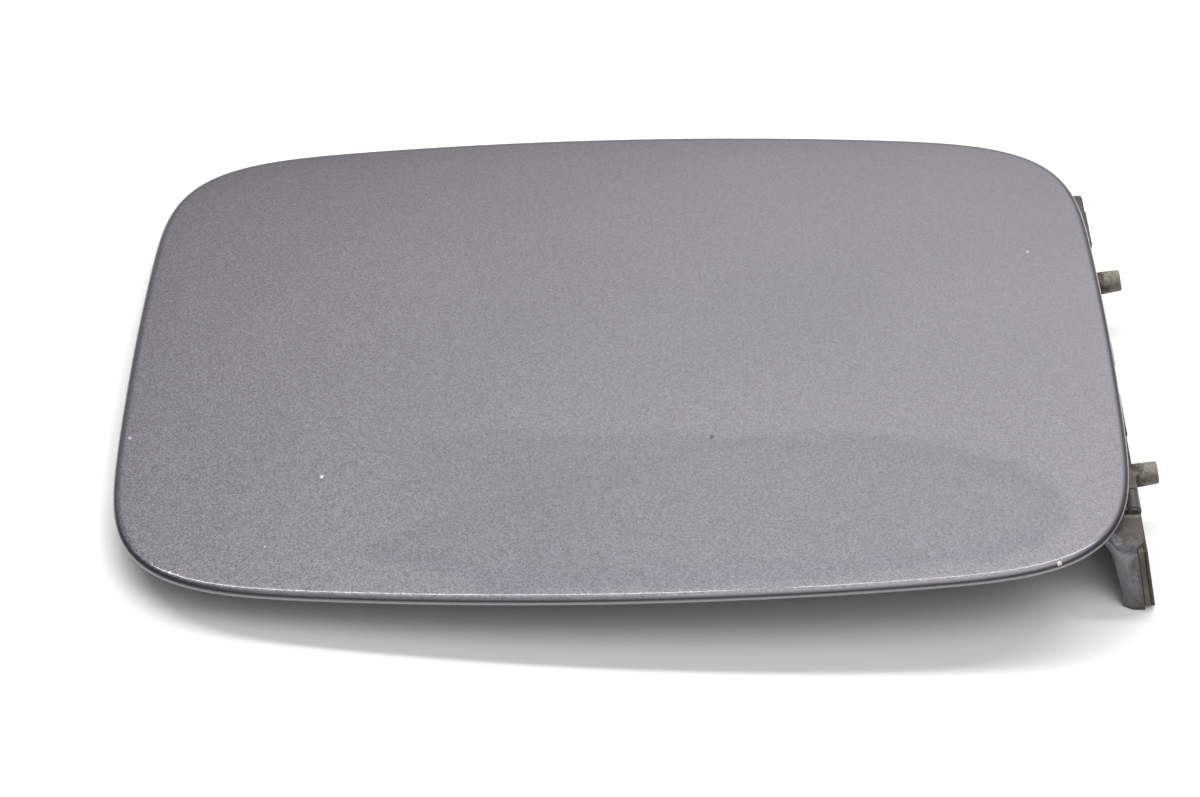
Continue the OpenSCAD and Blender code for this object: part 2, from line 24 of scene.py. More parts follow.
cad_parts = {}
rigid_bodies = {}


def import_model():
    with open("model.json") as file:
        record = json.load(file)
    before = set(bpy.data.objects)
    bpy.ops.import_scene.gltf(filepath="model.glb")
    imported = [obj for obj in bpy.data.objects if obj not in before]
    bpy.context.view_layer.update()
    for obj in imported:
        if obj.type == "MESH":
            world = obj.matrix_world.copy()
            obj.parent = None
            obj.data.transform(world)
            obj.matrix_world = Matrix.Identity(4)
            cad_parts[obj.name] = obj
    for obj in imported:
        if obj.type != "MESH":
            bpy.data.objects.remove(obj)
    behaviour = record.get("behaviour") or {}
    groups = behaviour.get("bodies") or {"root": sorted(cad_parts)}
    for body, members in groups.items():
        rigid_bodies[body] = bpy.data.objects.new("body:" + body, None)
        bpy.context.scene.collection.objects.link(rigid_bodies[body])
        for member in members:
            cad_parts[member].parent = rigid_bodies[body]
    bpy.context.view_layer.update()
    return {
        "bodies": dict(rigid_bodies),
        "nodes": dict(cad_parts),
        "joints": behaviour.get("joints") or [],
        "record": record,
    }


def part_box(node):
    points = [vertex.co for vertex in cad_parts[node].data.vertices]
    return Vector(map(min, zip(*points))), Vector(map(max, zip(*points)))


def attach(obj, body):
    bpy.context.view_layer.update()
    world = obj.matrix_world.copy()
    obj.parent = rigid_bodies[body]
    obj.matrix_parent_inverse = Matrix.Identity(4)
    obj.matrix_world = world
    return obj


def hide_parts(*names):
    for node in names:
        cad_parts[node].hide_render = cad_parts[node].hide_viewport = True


log = logging.getLogger("fuel_door")

Point = tuple[float, float]
Rgba = tuple[float, float, float, float]


def linear(code: str) -> Rgba:
    """Turns an sRGB hex colour into Blender's linear colour.

    Args:
        code: Six hex digits, such as "8f8d95".

    Returns:
        Red, green, blue and alpha, each from 0 to 1.
    """
    channels = (int(code[i : i + 2], 16) / 255 for i in (0, 2, 4))
    red, green, blue = (c / 12.92 if c <= 0.04045 else ((c + 0.055) / 1.055) ** 2.4 for c in channels)
    return (red, green, blue, 1.0)


def add_node(
    tree: bpy.types.NodeTree, kind: str, inputs: dict[Any, Any] | None = None, **settings: Any
) -> bpy.types.Node:
    """Adds one shader node.

    Args:
        tree: The node tree that gets the node.
        kind: Blender's name of the node type.
        inputs: Values or output sockets, by the input's name or number.
        settings: Attributes of the node, such as operation="ADD".

    Returns:
        The new node.
    """
    node = tree.nodes.new(kind)
    for key, value in settings.items():
        setattr(node, key, value)
    for key, value in (inputs or {}).items():
        if isinstance(value, bpy.types.NodeSocket):
            tree.links.new(value, node.inputs[key])
        else:
            node.inputs[key].default_value = value
    return node


def new_material(name: str) -> tuple[bpy.types.Material, bpy.types.NodeTree]:
    """Makes a material with an empty node tree.

    Args:
        name: What the finish is and how it was made.

    Returns:
        The material and its node tree.
    """
    material = bpy.data.materials.new(name)
    material.use_nodes = True
    material.node_tree.nodes.clear()
    return material, material.node_tree


def smoothstep(value: np.ndarray, low: float, high: float) -> np.ndarray:
    """Rises from 0 at low to 1 at high as 3 t squared less 2 t cubed."""
    t = np.clip((value - low) / (high - low), 0.0, 1.0)
    return t * t * (3.0 - 2.0 * t)


class Body(Enum):
    """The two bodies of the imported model."""

    LID = "lid"
    LEAF = "leaf"


# ---------------------------------------------------------------- meshes


def grid_faces(rows: int, columns: int, wrap: bool, first: int = 0) -> np.ndarray:
    """Quads between neighbouring rows of a grid of points.

    Args:
        rows: How many rows of points there are.
        columns: How many points each row has.
        wrap: Whether the last column joins the first.
        first: Number of the grid's first point.

    Returns:
        An array of point numbers, four to a face.
    """
    span = columns if wrap else columns - 1
    i, j = np.meshgrid(np.arange(rows - 1), np.arange(span), indexing="ij")
    right = (j + 1) % columns
    corners = (i * columns + j, i * columns + right, (i + 1) * columns + right, (i + 1) * columns + j)
    return first + np.stack(corners, axis=-1).reshape(-1, 4)


def mesh_object(name: str, points: np.ndarray, quads: np.ndarray, fans: Sequence[np.ndarray] = ()) -> bpy.types.Object:
    """Makes a smooth-shaded object whose place is in its mesh.

    Args:
        name: Name of the object.
        points: Points in metres, one to a row.
        quads: Four point numbers to a row.
        fans: Extra faces with any number of corners, such as a closing cap.

    Returns:
        The new object, at the origin.
    """
    mesh = bpy.data.meshes.new(name)
    faces = quads.tolist() + [list(map(int, fan)) for fan in fans]
    mesh.from_pydata(points.tolist(), [], faces)
    mesh.update()
    mesh.shade_smooth()
    piece = bpy.data.objects.new(name, mesh)
    bpy.context.scene.collection.objects.link(piece)
    return piece


def sharpen(piece: bpy.types.Object, degrees: float) -> None:
    """Keeps edges sharper than an angle crisp under smooth shading."""
    piece.data.set_sharp_from_angle(angle=math.radians(degrees))


def store_values(piece: bpy.types.Object, name: str, values: np.ndarray) -> None:
    """Keeps a number at each point of a piece, for its material to read by name."""
    attribute = piece.data.attributes.new(name, "FLOAT", "POINT")
    attribute.data.foreach_set("value", values.reshape(-1).astype(np.float32))


def add_wall(piece: bpy.types.Object, name: str, thickness_mm: float) -> None:
    """Gives a surface its thickness, on the side that its faces turn away from.

    Args:
        piece: The object whose mesh is an open surface.
        name: Name of the modifier.
        thickness_mm: Thickness of the wall.
    """
    wall = piece.modifiers.new(name, "SOLIDIFY")
    wall.thickness = thickness_mm / 1000
    wall.offset = -1.0


def pierce(points: np.ndarray, quads: np.ndarray, plane: slice, centre: Point, radius: float) -> np.ndarray:
    """Opens a round hole: faces inside the circle go, and points near it move straight out onto it.

    Args:
        points: The surface's points, which are moved in place.
        quads: The surface's faces.
        plane: The two axes that the circle lies in.
        centre: The circle's middle on those axes.
        radius: The circle's radius.

    Returns:
        The faces that are left.
    """
    away = points[:, plane] - centre
    far = np.linalg.norm(away, axis=1)
    inside = far < radius
    quads = quads[~inside[quads].all(axis=1)]
    used = np.zeros(len(points), bool)
    used[quads.ravel()] = True
    rim = used & inside
    points[rim, plane] = centre + away[rim] / far[rim, None] * radius
    return quads


def add_bevel(piece: bpy.types.Object, width_mm: float, degrees: float = 35.0, segments: int = 2) -> None:
    """Rounds a piece's sharp edges.

    Args:
        piece: The object to round.
        width_mm: Width of the rounding.
        degrees: Only edges sharper than this are rounded.
        segments: Faces across the rounding.
    """
    bevel = piece.modifiers.new("rounded edges", "BEVEL")
    bevel.width = width_mm / 1000
    bevel.segments = segments
    bevel.limit_method = "ANGLE"
    bevel.angle_limit = math.radians(degrees)
    bevel.harden_normals = True
    bevel.use_clamp_overlap = True


@dataclass(frozen=True)
class Lie:
    """How the part lies in the frame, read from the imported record.

    Attributes:
        pivot: The hinge pin's axis in the frame, in metres.
        tilt: Angle by which the lid rises towards its hinge.
        lean: Angle by which the leaf leans out from the lid.
        axis_x: The pin's place along the lid, in lid millimetres.
        axis_d: The pin's depth below the top of the lid.
    """

    pivot: np.ndarray
    tilt: float
    lean: float
    axis_x: float = 99.6
    axis_d: float = 7.6

    @classmethod
    def from_frame(cls, frame: dict[str, Any]) -> "Lie":
        """Reads the joint's place and the mounts' directions.

        Args:
            frame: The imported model.

        Returns:
            How the part lies.
        """
        mounts = {mount["name"]: mount["axis"] for mount in frame["record"]["mounts"]}
        eye, shank = mounts["latch_eye"], mounts["plug_front_shank"]
        tilt = math.atan2(-eye[2], -eye[0])
        lean = math.atan2(shank[2], shank[0]) - tilt
        return cls(np.array(frame["joints"][0]["pos_m"]), tilt, lean)

    def turned(self, points: np.ndarray, angle: float) -> np.ndarray:
        """Turns millimetres about the pin by an angle and sets them on it, in metres."""
        x, y, z = points[..., 0], points[..., 1], points[..., 2]
        cos, sin = math.cos(angle), math.sin(angle)
        return np.stack([x * cos - z * sin, y, x * sin + z * cos], axis=-1) / 1000 + self.pivot

    def place(self, points: np.ndarray) -> np.ndarray:
        """Turns lid millimetres into the frame's metres."""
        return self.turned(np.asarray(points, float) - (self.axis_x, 0.0, -self.axis_d), self.tilt)

    def place_leaf(self, points: np.ndarray) -> np.ndarray:
        """Turns leaf millimetres, X out through the leaf and Z up along it, into the frame's metres."""
        return self.turned(np.asarray(points, float), self.tilt + self.lean)


def close_solid(piece: bpy.types.Object) -> None:
    """Merges the doubled points at a solid's poles and turns its faces outwards.

    Args:
        piece: The closed object.
    """
    work = bmesh.new()
    work.from_mesh(piece.data)
    bmesh.ops.remove_doubles(work, verts=work.verts[:], dist=1e-6)
    bmesh.ops.recalc_face_normals(work, faces=work.faces[:])
    work.to_mesh(piece.data)
    work.free()


def lathe_points(profile: Sequence[Point], steps: int) -> tuple[np.ndarray, np.ndarray]:
    """Turns a profile round its axis: each point at distance r sweeps a circle of radius r.

    Args:
        profile: Distance from the axis and place along it, from one end to the other.
        steps: Points round the axis.

    Returns:
        Points with the axis along Z, and the faces between them.
    """
    r, z = np.array(profile, float).T
    turn = np.arange(steps) * 2 * math.pi / steps
    rings = np.stack([np.outer(r, np.cos(turn)), np.outer(r, np.sin(turn)), np.repeat(z[:, None], steps, 1)], -1)
    return rings.reshape(-1, 3), grid_faces(len(r), steps, wrap=True)


def rounded_profile(corners: Sequence[tuple[float, float, float]], steps: int = 4) -> list[Point]:
    """Rounds each corner of a profile with a small curve between the points a radius away from it.

    Args:
        corners: Distance from the axis, place along it, and the rounding at that corner.
        steps: Pieces in each rounding.

    Returns:
        Points of the rounded profile.
    """
    points: list[Point] = []
    for i, (r, z, soft) in enumerate(corners):
        here = np.array((r, z))
        if soft == 0 or i in (0, len(corners) - 1):
            points.append((r, z))
            continue
        before = np.array(corners[i - 1][:2]) - here
        after = np.array(corners[i + 1][:2]) - here
        a = here + before / np.linalg.norm(before) * soft
        b = here + after / np.linalg.norm(after) * soft
        t = np.linspace(0, 1, steps + 1)[:, None]
        curve = (1 - t) ** 2 * a + 2 * t * (1 - t) * here + t**2 * b
        points.extend((float(p[0]), float(p[1])) for p in curve)
    return points


def swept_wire(path: np.ndarray, radius: float, sides: int = 12) -> tuple[np.ndarray, np.ndarray, list[np.ndarray]]:
    """A round wire: at each point of the path a circle square to it, framed by the hinge direction Y.

    Args:
        path: Points along the wire, which never runs along Y.
        radius: Radius of the wire.
        sides: Points round the wire.

    Returns:
        Points, side faces and the two end caps.
    """
    along = np.gradient(path, axis=0)
    along /= np.linalg.norm(along, axis=1, keepdims=True)
    across = np.cross(along, (0.0, 1.0, 0.0))
    across /= np.linalg.norm(across, axis=1, keepdims=True)
    other = np.cross(along, across)
    turn = np.arange(sides) * 2 * math.pi / sides
    rings = path[:, None] + radius * (
        np.cos(turn)[None, :, None] * across[:, None] + np.sin(turn)[None, :, None] * other[:, None]
    )
    last = (len(path) - 1) * sides
    caps = [np.arange(sides)[::-1], last + np.arange(sides)]
    return rings.reshape(-1, 3), grid_faces(len(path), sides, wrap=True), caps


# ---------------------------------------------------------------- finishes


@dataclass(frozen=True)
class Mark:
    """A chip or spot on the lid.

    Attributes:
        x: Place along the lid, in lid millimetres.
        y: Place across the lid.
        radius: Its radius in millimetres.
        colour: Its sRGB hex colour.
        depth: Its depth below the crowned top.
    """

    x: float
    y: float
    radius: float
    colour: str
    depth: float = 0.0


@dataclass(frozen=True)
class Scratch:
    """A fine straight scratch on the lid, from one point to another in lid millimetres."""

    start: Point
    end: Point
    width: float


@dataclass(frozen=True)
class PaintedReflectionPatch:
    """A painted reflection on the lid's front: a bluish, darker patch with a ragged rim, where the clearcoat mirrors a
    darker part of the room.

    It reads the skin's attributes reflection_depth, second_reflection_depth and second_reflection_level.

    Attributes:
        tint: What the painted reflection multiplies the paint's colour by.
        streak_mm: Width of the rim's streaks.
        stretch: Their width over their length, so that they run along the lid.
        ragged_mm: How far the streaks shift the rim to either side.
        rim_mm: Depths between which the painted reflection sets in.
        fade_mm: Depths between which it fades to its middle.
        second_mm: Depths between which the second, paler painted reflection sets in.
        middle: Strength of the patch's middle and of the second patch.
    """

    tint: Rgba = (0.82, 0.855, 0.89, 1.0)
    streak_mm: float = 3.0
    stretch: float = 0.25
    ragged_mm: float = 1.7
    rim_mm: Point = (-2.2, 2.0)
    fade_mm: Point = (1.5, 6.0)
    second_mm: Point = (-2.0, 2.0)
    middle: float = 0.72

    def add(self, tree: bpy.types.NodeTree, place: Any, colour: Any) -> bpy.types.NodeSocket:
        """Adds the painted reflection: its strength is a smooth step of the depth inside its boundary, shifted by a
        noise.

        Args:
            tree: The material's node tree.
            place: Object coordinates.
            colour: The paint's colour so far.

        Returns:
            The colour with the painted reflection on it.
        """
        along = add_node(tree, "ShaderNodeVectorMath", {0: place, 1: (self.stretch, 1.0, 1.0)}, operation="MULTIPLY")
        ragged = add_node(
            tree,
            "ShaderNodeTexNoise",
            {"Vector": along.outputs[0], "Scale": 1000 / self.streak_mm, "Detail": 4.0, "Roughness": 0.6},
        )
        reach = {"From Min": 0.3, "From Max": 0.7, "To Min": -self.ragged_mm, "To Max": self.ragged_mm}
        shift = add_node(tree, "ShaderNodeMapRange", {"Value": ragged.outputs["Fac"], **reach}).outputs[0]
        depths = []
        for name in ("reflection_depth", "second_reflection_depth"):
            depth = add_node(tree, "ShaderNodeAttribute", attribute_name=name).outputs["Fac"]
            depths.append(add_node(tree, "ShaderNodeMath", {0: depth, 1: shift}, operation="ADD").outputs[0])
        level = add_node(tree, "ShaderNodeAttribute", attribute_name="second_reflection_level").outputs["Fac"]
        inside = self.ramp(tree, depths[0], self.rim_mm, (0.0, 1.0), "SMOOTHSTEP")
        fading = self.ramp(tree, depths[0], self.fade_mm, (1.0, self.middle), "LINEAR")
        second_patch = self.ramp(tree, depths[1], self.second_mm, (0.0, self.middle), "SMOOTHSTEP")
        first_patch = add_node(tree, "ShaderNodeMath", {0: inside, 1: fading}, operation="MULTIPLY")
        faint = add_node(tree, "ShaderNodeMath", {0: second_patch, 1: level}, operation="MULTIPLY")
        strength = add_node(tree, "ShaderNodeMath", {0: first_patch.outputs[0], 1: faint.outputs[0]}, operation="MAXIMUM")
        reflected = add_node(
            tree,
            "ShaderNodeMix",
            {"Factor": strength.outputs[0], 6: colour, 7: self.tint},
            data_type="RGBA",
            blend_type="MULTIPLY",
        )
        return reflected.outputs[2]

    @staticmethod
    def ramp(tree: bpy.types.NodeTree, value: Any, start: Point, end: Point, curve: str) -> bpy.types.NodeSocket:
        """Maps a value from one range to another.

        Args:
            tree: The material's node tree.
            value: The value's socket.
            start: The range that it comes from.
            end: The range that it goes to.
            curve: LINEAR or SMOOTHSTEP.

        Returns:
            The mapped value.
        """
        ranges = {"From Min": start[0], "From Max": start[1], "To Min": end[0], "To Max": end[1]}
        return add_node(tree, "ShaderNodeMapRange", {"Value": value, **ranges}, interpolation_type=curve).outputs[0]


@dataclass(frozen=True)
class MetallicLacquer:
    """Grey metallic basecoat under clearcoat, sprayed: aluminium flakes glint in a darker base.

    Attributes:
        base: Colour of the basecoat.
        dark: Colour of its cloudy patches.
        side: Colour of the painted dark reflection where the rolled edge turns down.
        dust: Pale colour under the edge: dust, and a painted reflection of the white table.
        scratch: Colour of the scratches.
        flake_mm: Size at which the flakes are drawn.
        flake_front: How far the flakes' painted glints differ at the lid's front, nearer to the eye.
        flake_rear: How far they differ at its rear.
        flake_lean: How far each flake leans.
        cloud_mm: Size of the cloudy patches.
        metallic: How much of the surface is flakes.
        roughness: Roughness of the basecoat.
        coat_roughness: Roughness of the clearcoat.
        marks: Chips and spots.
        scratches: Fine scratches.
        reflection_patch: The painted reflection on the lid's front.
    """

    base: str = "827f86"
    dark: str = "74717a"
    side: str = "5c5a61"
    dust: str = "a39f9b"
    scratch: str = "6c6b72"
    flake_mm: float = 0.23
    flake_front: float = 0.30
    flake_rear: float = 0.08
    flake_lean: float = 0.15
    cloud_mm: float = 60.0
    metallic: float = 0.82
    roughness: float = 0.42
    coat_roughness: float = 0.04
    marks: tuple[Mark, ...] = ()
    scratches: tuple[Scratch, ...] = ()
    reflection_patch: PaintedReflectionPatch = PaintedReflectionPatch()

    def build(self, lie: Lie, outline: "LidOutline") -> bpy.types.Material:
        """Makes the material.

        Args:
            lie: Places the marks on the lid.
            outline: Gives the crown's height under each mark.

        Returns:
            The finished material.
        """
        material, tree = new_material("metallic lacquer")
        place = add_node(tree, "ShaderNodeTexCoord").outputs["Object"]
        # Spraying leaves wide, faint clouds.
        cloud = add_node(tree, "ShaderNodeTexNoise", {"Vector": place, "Scale": 1000 / self.cloud_mm, "Detail": 2.0})
        tint = add_node(
            tree,
            "ShaderNodeMix",
            {"Factor": cloud.outputs["Fac"], 6: linear(self.dark), 7: linear(self.base)},
            data_type="RGBA",
        )
        # Flakes are really 0.03 mm; they are drawn as coarse as the picture's grain.
        flakes = add_node(tree, "ShaderNodeTexVoronoi", {"Vector": place, "Scale": 1000 / self.flake_mm})
        split = add_node(tree, "ShaderNodeSeparateColor", {"Color": flakes.outputs["Color"]})
        # They stand out more towards the front, a painted glint where the light is nearer the mirror direction. The
        # lid is about 0.13 m deep inside its roll.
        across = add_node(tree, "ShaderNodeSeparateXYZ", {0: place}).outputs[1]
        contrast = {"From Min": -0.065, "From Max": 0.065, "To Min": self.flake_front, "To Max": self.flake_rear}
        strong = add_node(tree, "ShaderNodeMapRange", {"Value": across, **contrast})
        above = add_node(tree, "ShaderNodeMath", {0: strong.outputs[0], 1: 1.0}, operation="ADD")
        below = add_node(tree, "ShaderNodeMath", {0: 1.0, 1: strong.outputs[0]}, operation="SUBTRACT")
        painted_glint = add_node(
            tree,
            "ShaderNodeMapRange",
            {"Value": split.outputs[0], "To Min": below.outputs[0], "To Max": above.outputs[0]},
        )
        grained = add_node(tree, "ShaderNodeVectorMath", {0: tint.outputs[2], 3: painted_glint.outputs[0]}, operation="SCALE")
        # A bluish painted reflection darkens the lid's front.
        colour = self.reflection_patch.add(tree, place, grained.outputs[0])
        # The roll gets a painted dark reflection where it turns down, and its underside a pale colour that is road
        # dust and a painted reflection of the white table.
        for name, shade in (("roll_painted_dark_reflection", self.side), ("hem_dust_and_reflection", self.dust)):
            factor = add_node(tree, "ShaderNodeAttribute", attribute_name=name).outputs["Fac"]
            shaded = add_node(tree, "ShaderNodeMix", {"Factor": factor, 6: colour, 7: linear(shade)}, data_type="RGBA")
            colour = shaded.outputs[2]
        metal: Any = self.metallic
        for mark in self.marks:
            mask = self.mark_mask(tree, place, mark, lie, outline)
            mixed = add_node(
                tree, "ShaderNodeMix", {"Factor": mask, 6: colour, 7: linear(mark.colour)}, data_type="RGBA"
            )
            colour = mixed.outputs[2]
            less = add_node(tree, "ShaderNodeMath", {0: metal, 1: mask}, operation="SUBTRACT", use_clamp=True)
            metal = less.outputs[0]
        for scratch in self.scratches:
            mask = self.scratch_mask(tree, place, scratch, lie, outline)
            mixed = add_node(
                tree, "ShaderNodeMix", {"Factor": mask, 6: colour, 7: linear(self.scratch)}, data_type="RGBA"
            )
            colour = mixed.outputs[2]
        # Each flake lies at its own small angle, which makes the grain glint.
        tilt = add_node(
            tree, "ShaderNodeVectorMath", {0: flakes.outputs["Color"], 1: (0.5, 0.5, 0.5)}, operation="SUBTRACT"
        )
        small = add_node(tree, "ShaderNodeVectorMath", {0: tilt.outputs[0], 3: self.flake_lean}, operation="SCALE")
        normal = add_node(tree, "ShaderNodeNewGeometry").outputs["Normal"]
        leaned = add_node(tree, "ShaderNodeVectorMath", {0: normal, 1: small.outputs[0]}, operation="ADD")
        unit = add_node(tree, "ShaderNodeVectorMath", {0: leaned.outputs[0]}, operation="NORMALIZE")
        shader = add_node(
            tree,
            "ShaderNodeBsdfPrincipled",
            {
                "Base Color": colour,
                "Metallic": metal,
                "Roughness": self.roughness,
                "Normal": unit.outputs[0],
                "Coat Weight": 1.0,
                "Coat Roughness": self.coat_roughness,
            },
        )
        add_node(tree, "ShaderNodeOutputMaterial", {"Surface": shader.outputs[0]})
        return material

    def mark_mask(
        self, tree: bpy.types.NodeTree, place: Any, mark: Mark, lie: Lie, outline: "LidOutline"
    ) -> bpy.types.NodeSocket:
        """A ragged spot: 1 where the distance from the mark's middle, changed by noise, is under its radius.

        Args:
            tree: The material's node tree.
            place: Object coordinates.
            mark: The chip or spot.
            lie: Places it in the frame.
            outline: Gives the crown's height.

        Returns:
            The mask, 0 or 1.
        """
        centre = lie.place(np.array([mark.x, mark.y, outline.crown(mark.x, mark.y) - mark.depth]))
        away = add_node(tree, "ShaderNodeVectorMath", {0: place, 1: tuple(centre)}, operation="DISTANCE")
        ragged = add_node(tree, "ShaderNodeTexNoise", {"Vector": place, "Scale": 1000 / max(mark.radius, 0.3)})
        wobble = add_node(
            tree,
            "ShaderNodeMath",
            {0: ragged.outputs["Fac"], 1: 0.0016 * mark.radius, 2: away.outputs["Value"]},
            operation="MULTIPLY_ADD",
        )
        inside = add_node(
            tree,
            "ShaderNodeMath",
            {0: wobble.outputs[0], 1: 0.0018 * mark.radius},
            operation="LESS_THAN",
        )
        return inside.outputs[0]

    def scratch_mask(
        self, tree: bpy.types.NodeTree, place: Any, scratch: Scratch, lie: Lie, outline: "LidOutline"
    ) -> bpy.types.NodeSocket:
        """A thin line: 1 where the distance from the scratch's middle line is under half its width.

        Args:
            tree: The material's node tree.
            place: Object coordinates.
            scratch: The scratch.
            lie: Places it in the frame.
            outline: Gives the crown's height.

        Returns:
            The mask, 0 or 1.
        """
        ends = [lie.place(np.array([p[0], p[1], outline.crown(*p)])) for p in (scratch.start, scratch.end)]
        middle, run = (ends[0] + ends[1]) / 2, ends[1] - ends[0]
        length = float(np.linalg.norm(run))
        ahead = run / length
        side = np.cross(ahead, (0.0, 0.0, 1.0))
        away = add_node(tree, "ShaderNodeVectorMath", {0: place, 1: tuple(middle)}, operation="SUBTRACT")
        offs = []
        for axis, limit in ((ahead, length / 2), (side / np.linalg.norm(side), scratch.width / 2000)):
            reach = add_node(
                tree, "ShaderNodeVectorMath", {0: away.outputs[0], 1: tuple(axis)}, operation="DOT_PRODUCT"
            )
            size = add_node(tree, "ShaderNodeMath", {0: reach.outputs["Value"]}, operation="ABSOLUTE")
            offs.append(
                add_node(tree, "ShaderNodeMath", {0: size.outputs[0], 1: limit}, operation="LESS_THAN").outputs[0]
            )
        both = add_node(tree, "ShaderNodeMath", {0: offs[0], 1: offs[1]}, operation="MULTIPLY")
        faint = add_node(tree, "ShaderNodeMath", {0: both.outputs[0], 1: 0.55}, operation="MULTIPLY")
        return faint.outputs[0]


@dataclass(frozen=True)
class WornFinish:
    """A worn or dirty finish: two close shades in patches, dirt in hollows of a noise, and a fine grain.

    Attributes:
        name: What the finish is and how it was made.
        light: Its lighter shade.
        deep: Its darker shade.
        dirt: Colour of the dirt on it.
        dirt_share: How much of the surface the dirt takes, from 0 to 1.
        patch_mm: Size of the patches.
        dirt_mm: Size of the dirt spots.
        grain_mm: Size of the surface's grain or orange peel.
        grain_depth_mm: Height of that grain.
        metallic: 1 for bare metal.
        roughness: Roughness of the clean surface.
        coat: Weight of a clear coat.
        coat_roughness: Roughness of that coat.
        glow: Weight of light that passes under the surface, for nylon.
        dirt_blur: How softly the dirt's edges fade.
        dirt_level: Where the sum of the noise and the dirt's share starts to show as dirt.
    """

    name: str
    light: str
    deep: str
    dirt: str
    dirt_share: float
    patch_mm: float = 8.0
    dirt_mm: float = 2.0
    grain_mm: float = 0.6
    grain_depth_mm: float = 0.02
    metallic: float = 0.0
    roughness: float = 0.5
    coat: float = 0.0
    coat_roughness: float = 0.14
    glow: float = 0.0
    dirt_blur: float = 0.125
    dirt_level: float = 0.925

    def build(self, dirt_from: Any = None) -> bpy.types.Material:
        """Makes the material.

        Args:
            dirt_from: The name of a mesh attribute that adds dirt, and painted shade on the hinge legs, where it is
                high, if there is one.

        Returns:
            The finished material.
        """
        material, tree = new_material(self.name)
        place = add_node(tree, "ShaderNodeTexCoord").outputs["Object"]
        patches = add_node(
            tree, "ShaderNodeTexNoise", {"Vector": place, "Scale": 1000 / self.patch_mm, "Detail": 3.0}
        )
        shade = add_node(
            tree,
            "ShaderNodeMapRange",
            {"Value": patches.outputs["Fac"], "From Min": 0.35, "From Max": 0.65},
            interpolation_type="SMOOTHSTEP",
        )
        clean = add_node(
            tree,
            "ShaderNodeMix",
            {"Factor": shade.outputs[0], 6: linear(self.deep), 7: linear(self.light)},
            data_type="RGBA",
        )
        spots = add_node(
            tree,
            "ShaderNodeTexNoise",
            {"Vector": place, "Scale": 1000 / self.dirt_mm, "Detail": 5.0, "Roughness": 0.7},
        )
        amount: Any = self.dirt_share
        if dirt_from:
            extra = add_node(tree, "ShaderNodeAttribute", attribute_name=dirt_from).outputs["Fac"]
            amount = add_node(tree, "ShaderNodeMath", {0: extra, 1: self.dirt_share}, operation="ADD").outputs[0]
        level = add_node(tree, "ShaderNodeMath", {0: spots.outputs["Fac"], 1: amount}, operation="ADD")
        dirt_and_shade = add_node(
            tree,
            "ShaderNodeMapRange",
            {
                "Value": level.outputs[0],
                "From Min": self.dirt_level - self.dirt_blur,
                "From Max": self.dirt_level + self.dirt_blur,
                "To Max": 0.9,
            },
            interpolation_type="SMOOTHSTEP",
        )
        colour = add_node(
            tree,
            "ShaderNodeMix",
            {"Factor": dirt_and_shade.outputs[0], 6: clean.outputs[2], 7: linear(self.dirt)},
            data_type="RGBA",
        )
        rough = add_node(
            tree,
            "ShaderNodeMapRange",
            {"Value": dirt_and_shade.outputs[0], "To Min": self.roughness, "To Max": min(1.0, self.roughness + 0.35)},
        )
        grain = add_node(tree, "ShaderNodeTexNoise", {"Vector": place, "Scale": 1000 / self.grain_mm, "Detail": 2.0})
        relief = add_node(
            tree,
            "ShaderNodeBump",
            {"Height": grain.outputs["Fac"], "Distance": self.grain_depth_mm / 1000, "Strength": 1.0},
        )
        sockets: dict[Any, Any] = {
            "Base Color": colour.outputs[2],
            "Roughness": rough.outputs[0],
            "Normal": relief.outputs[0],
            "Coat Roughness": self.coat_roughness,
            "Coat Normal": relief.outputs[0],
        }
        # Dirt, and painted shade where an attribute adds it, hides most of the metal and of the coat.
        for socket, clear, left in (("Metallic", self.metallic, 0.2), ("Coat Weight", self.coat, 0.1)):
            if clear:
                fading = {"Value": dirt_and_shade.outputs[0], "To Min": clear, "To Max": left * clear}
                sockets[socket] = add_node(tree, "ShaderNodeMapRange", fading).outputs[0]
        if self.glow:
            sockets["Subsurface Weight"] = self.glow
            sockets["Subsurface Radius"] = (0.0012, 0.0009, 0.0005)
            sockets["Subsurface Scale"] = 1.0
        shader = add_node(tree, "ShaderNodeBsdfPrincipled", sockets)
        add_node(tree, "ShaderNodeOutputMaterial", {"Surface": shader.outputs[0]})
        return material


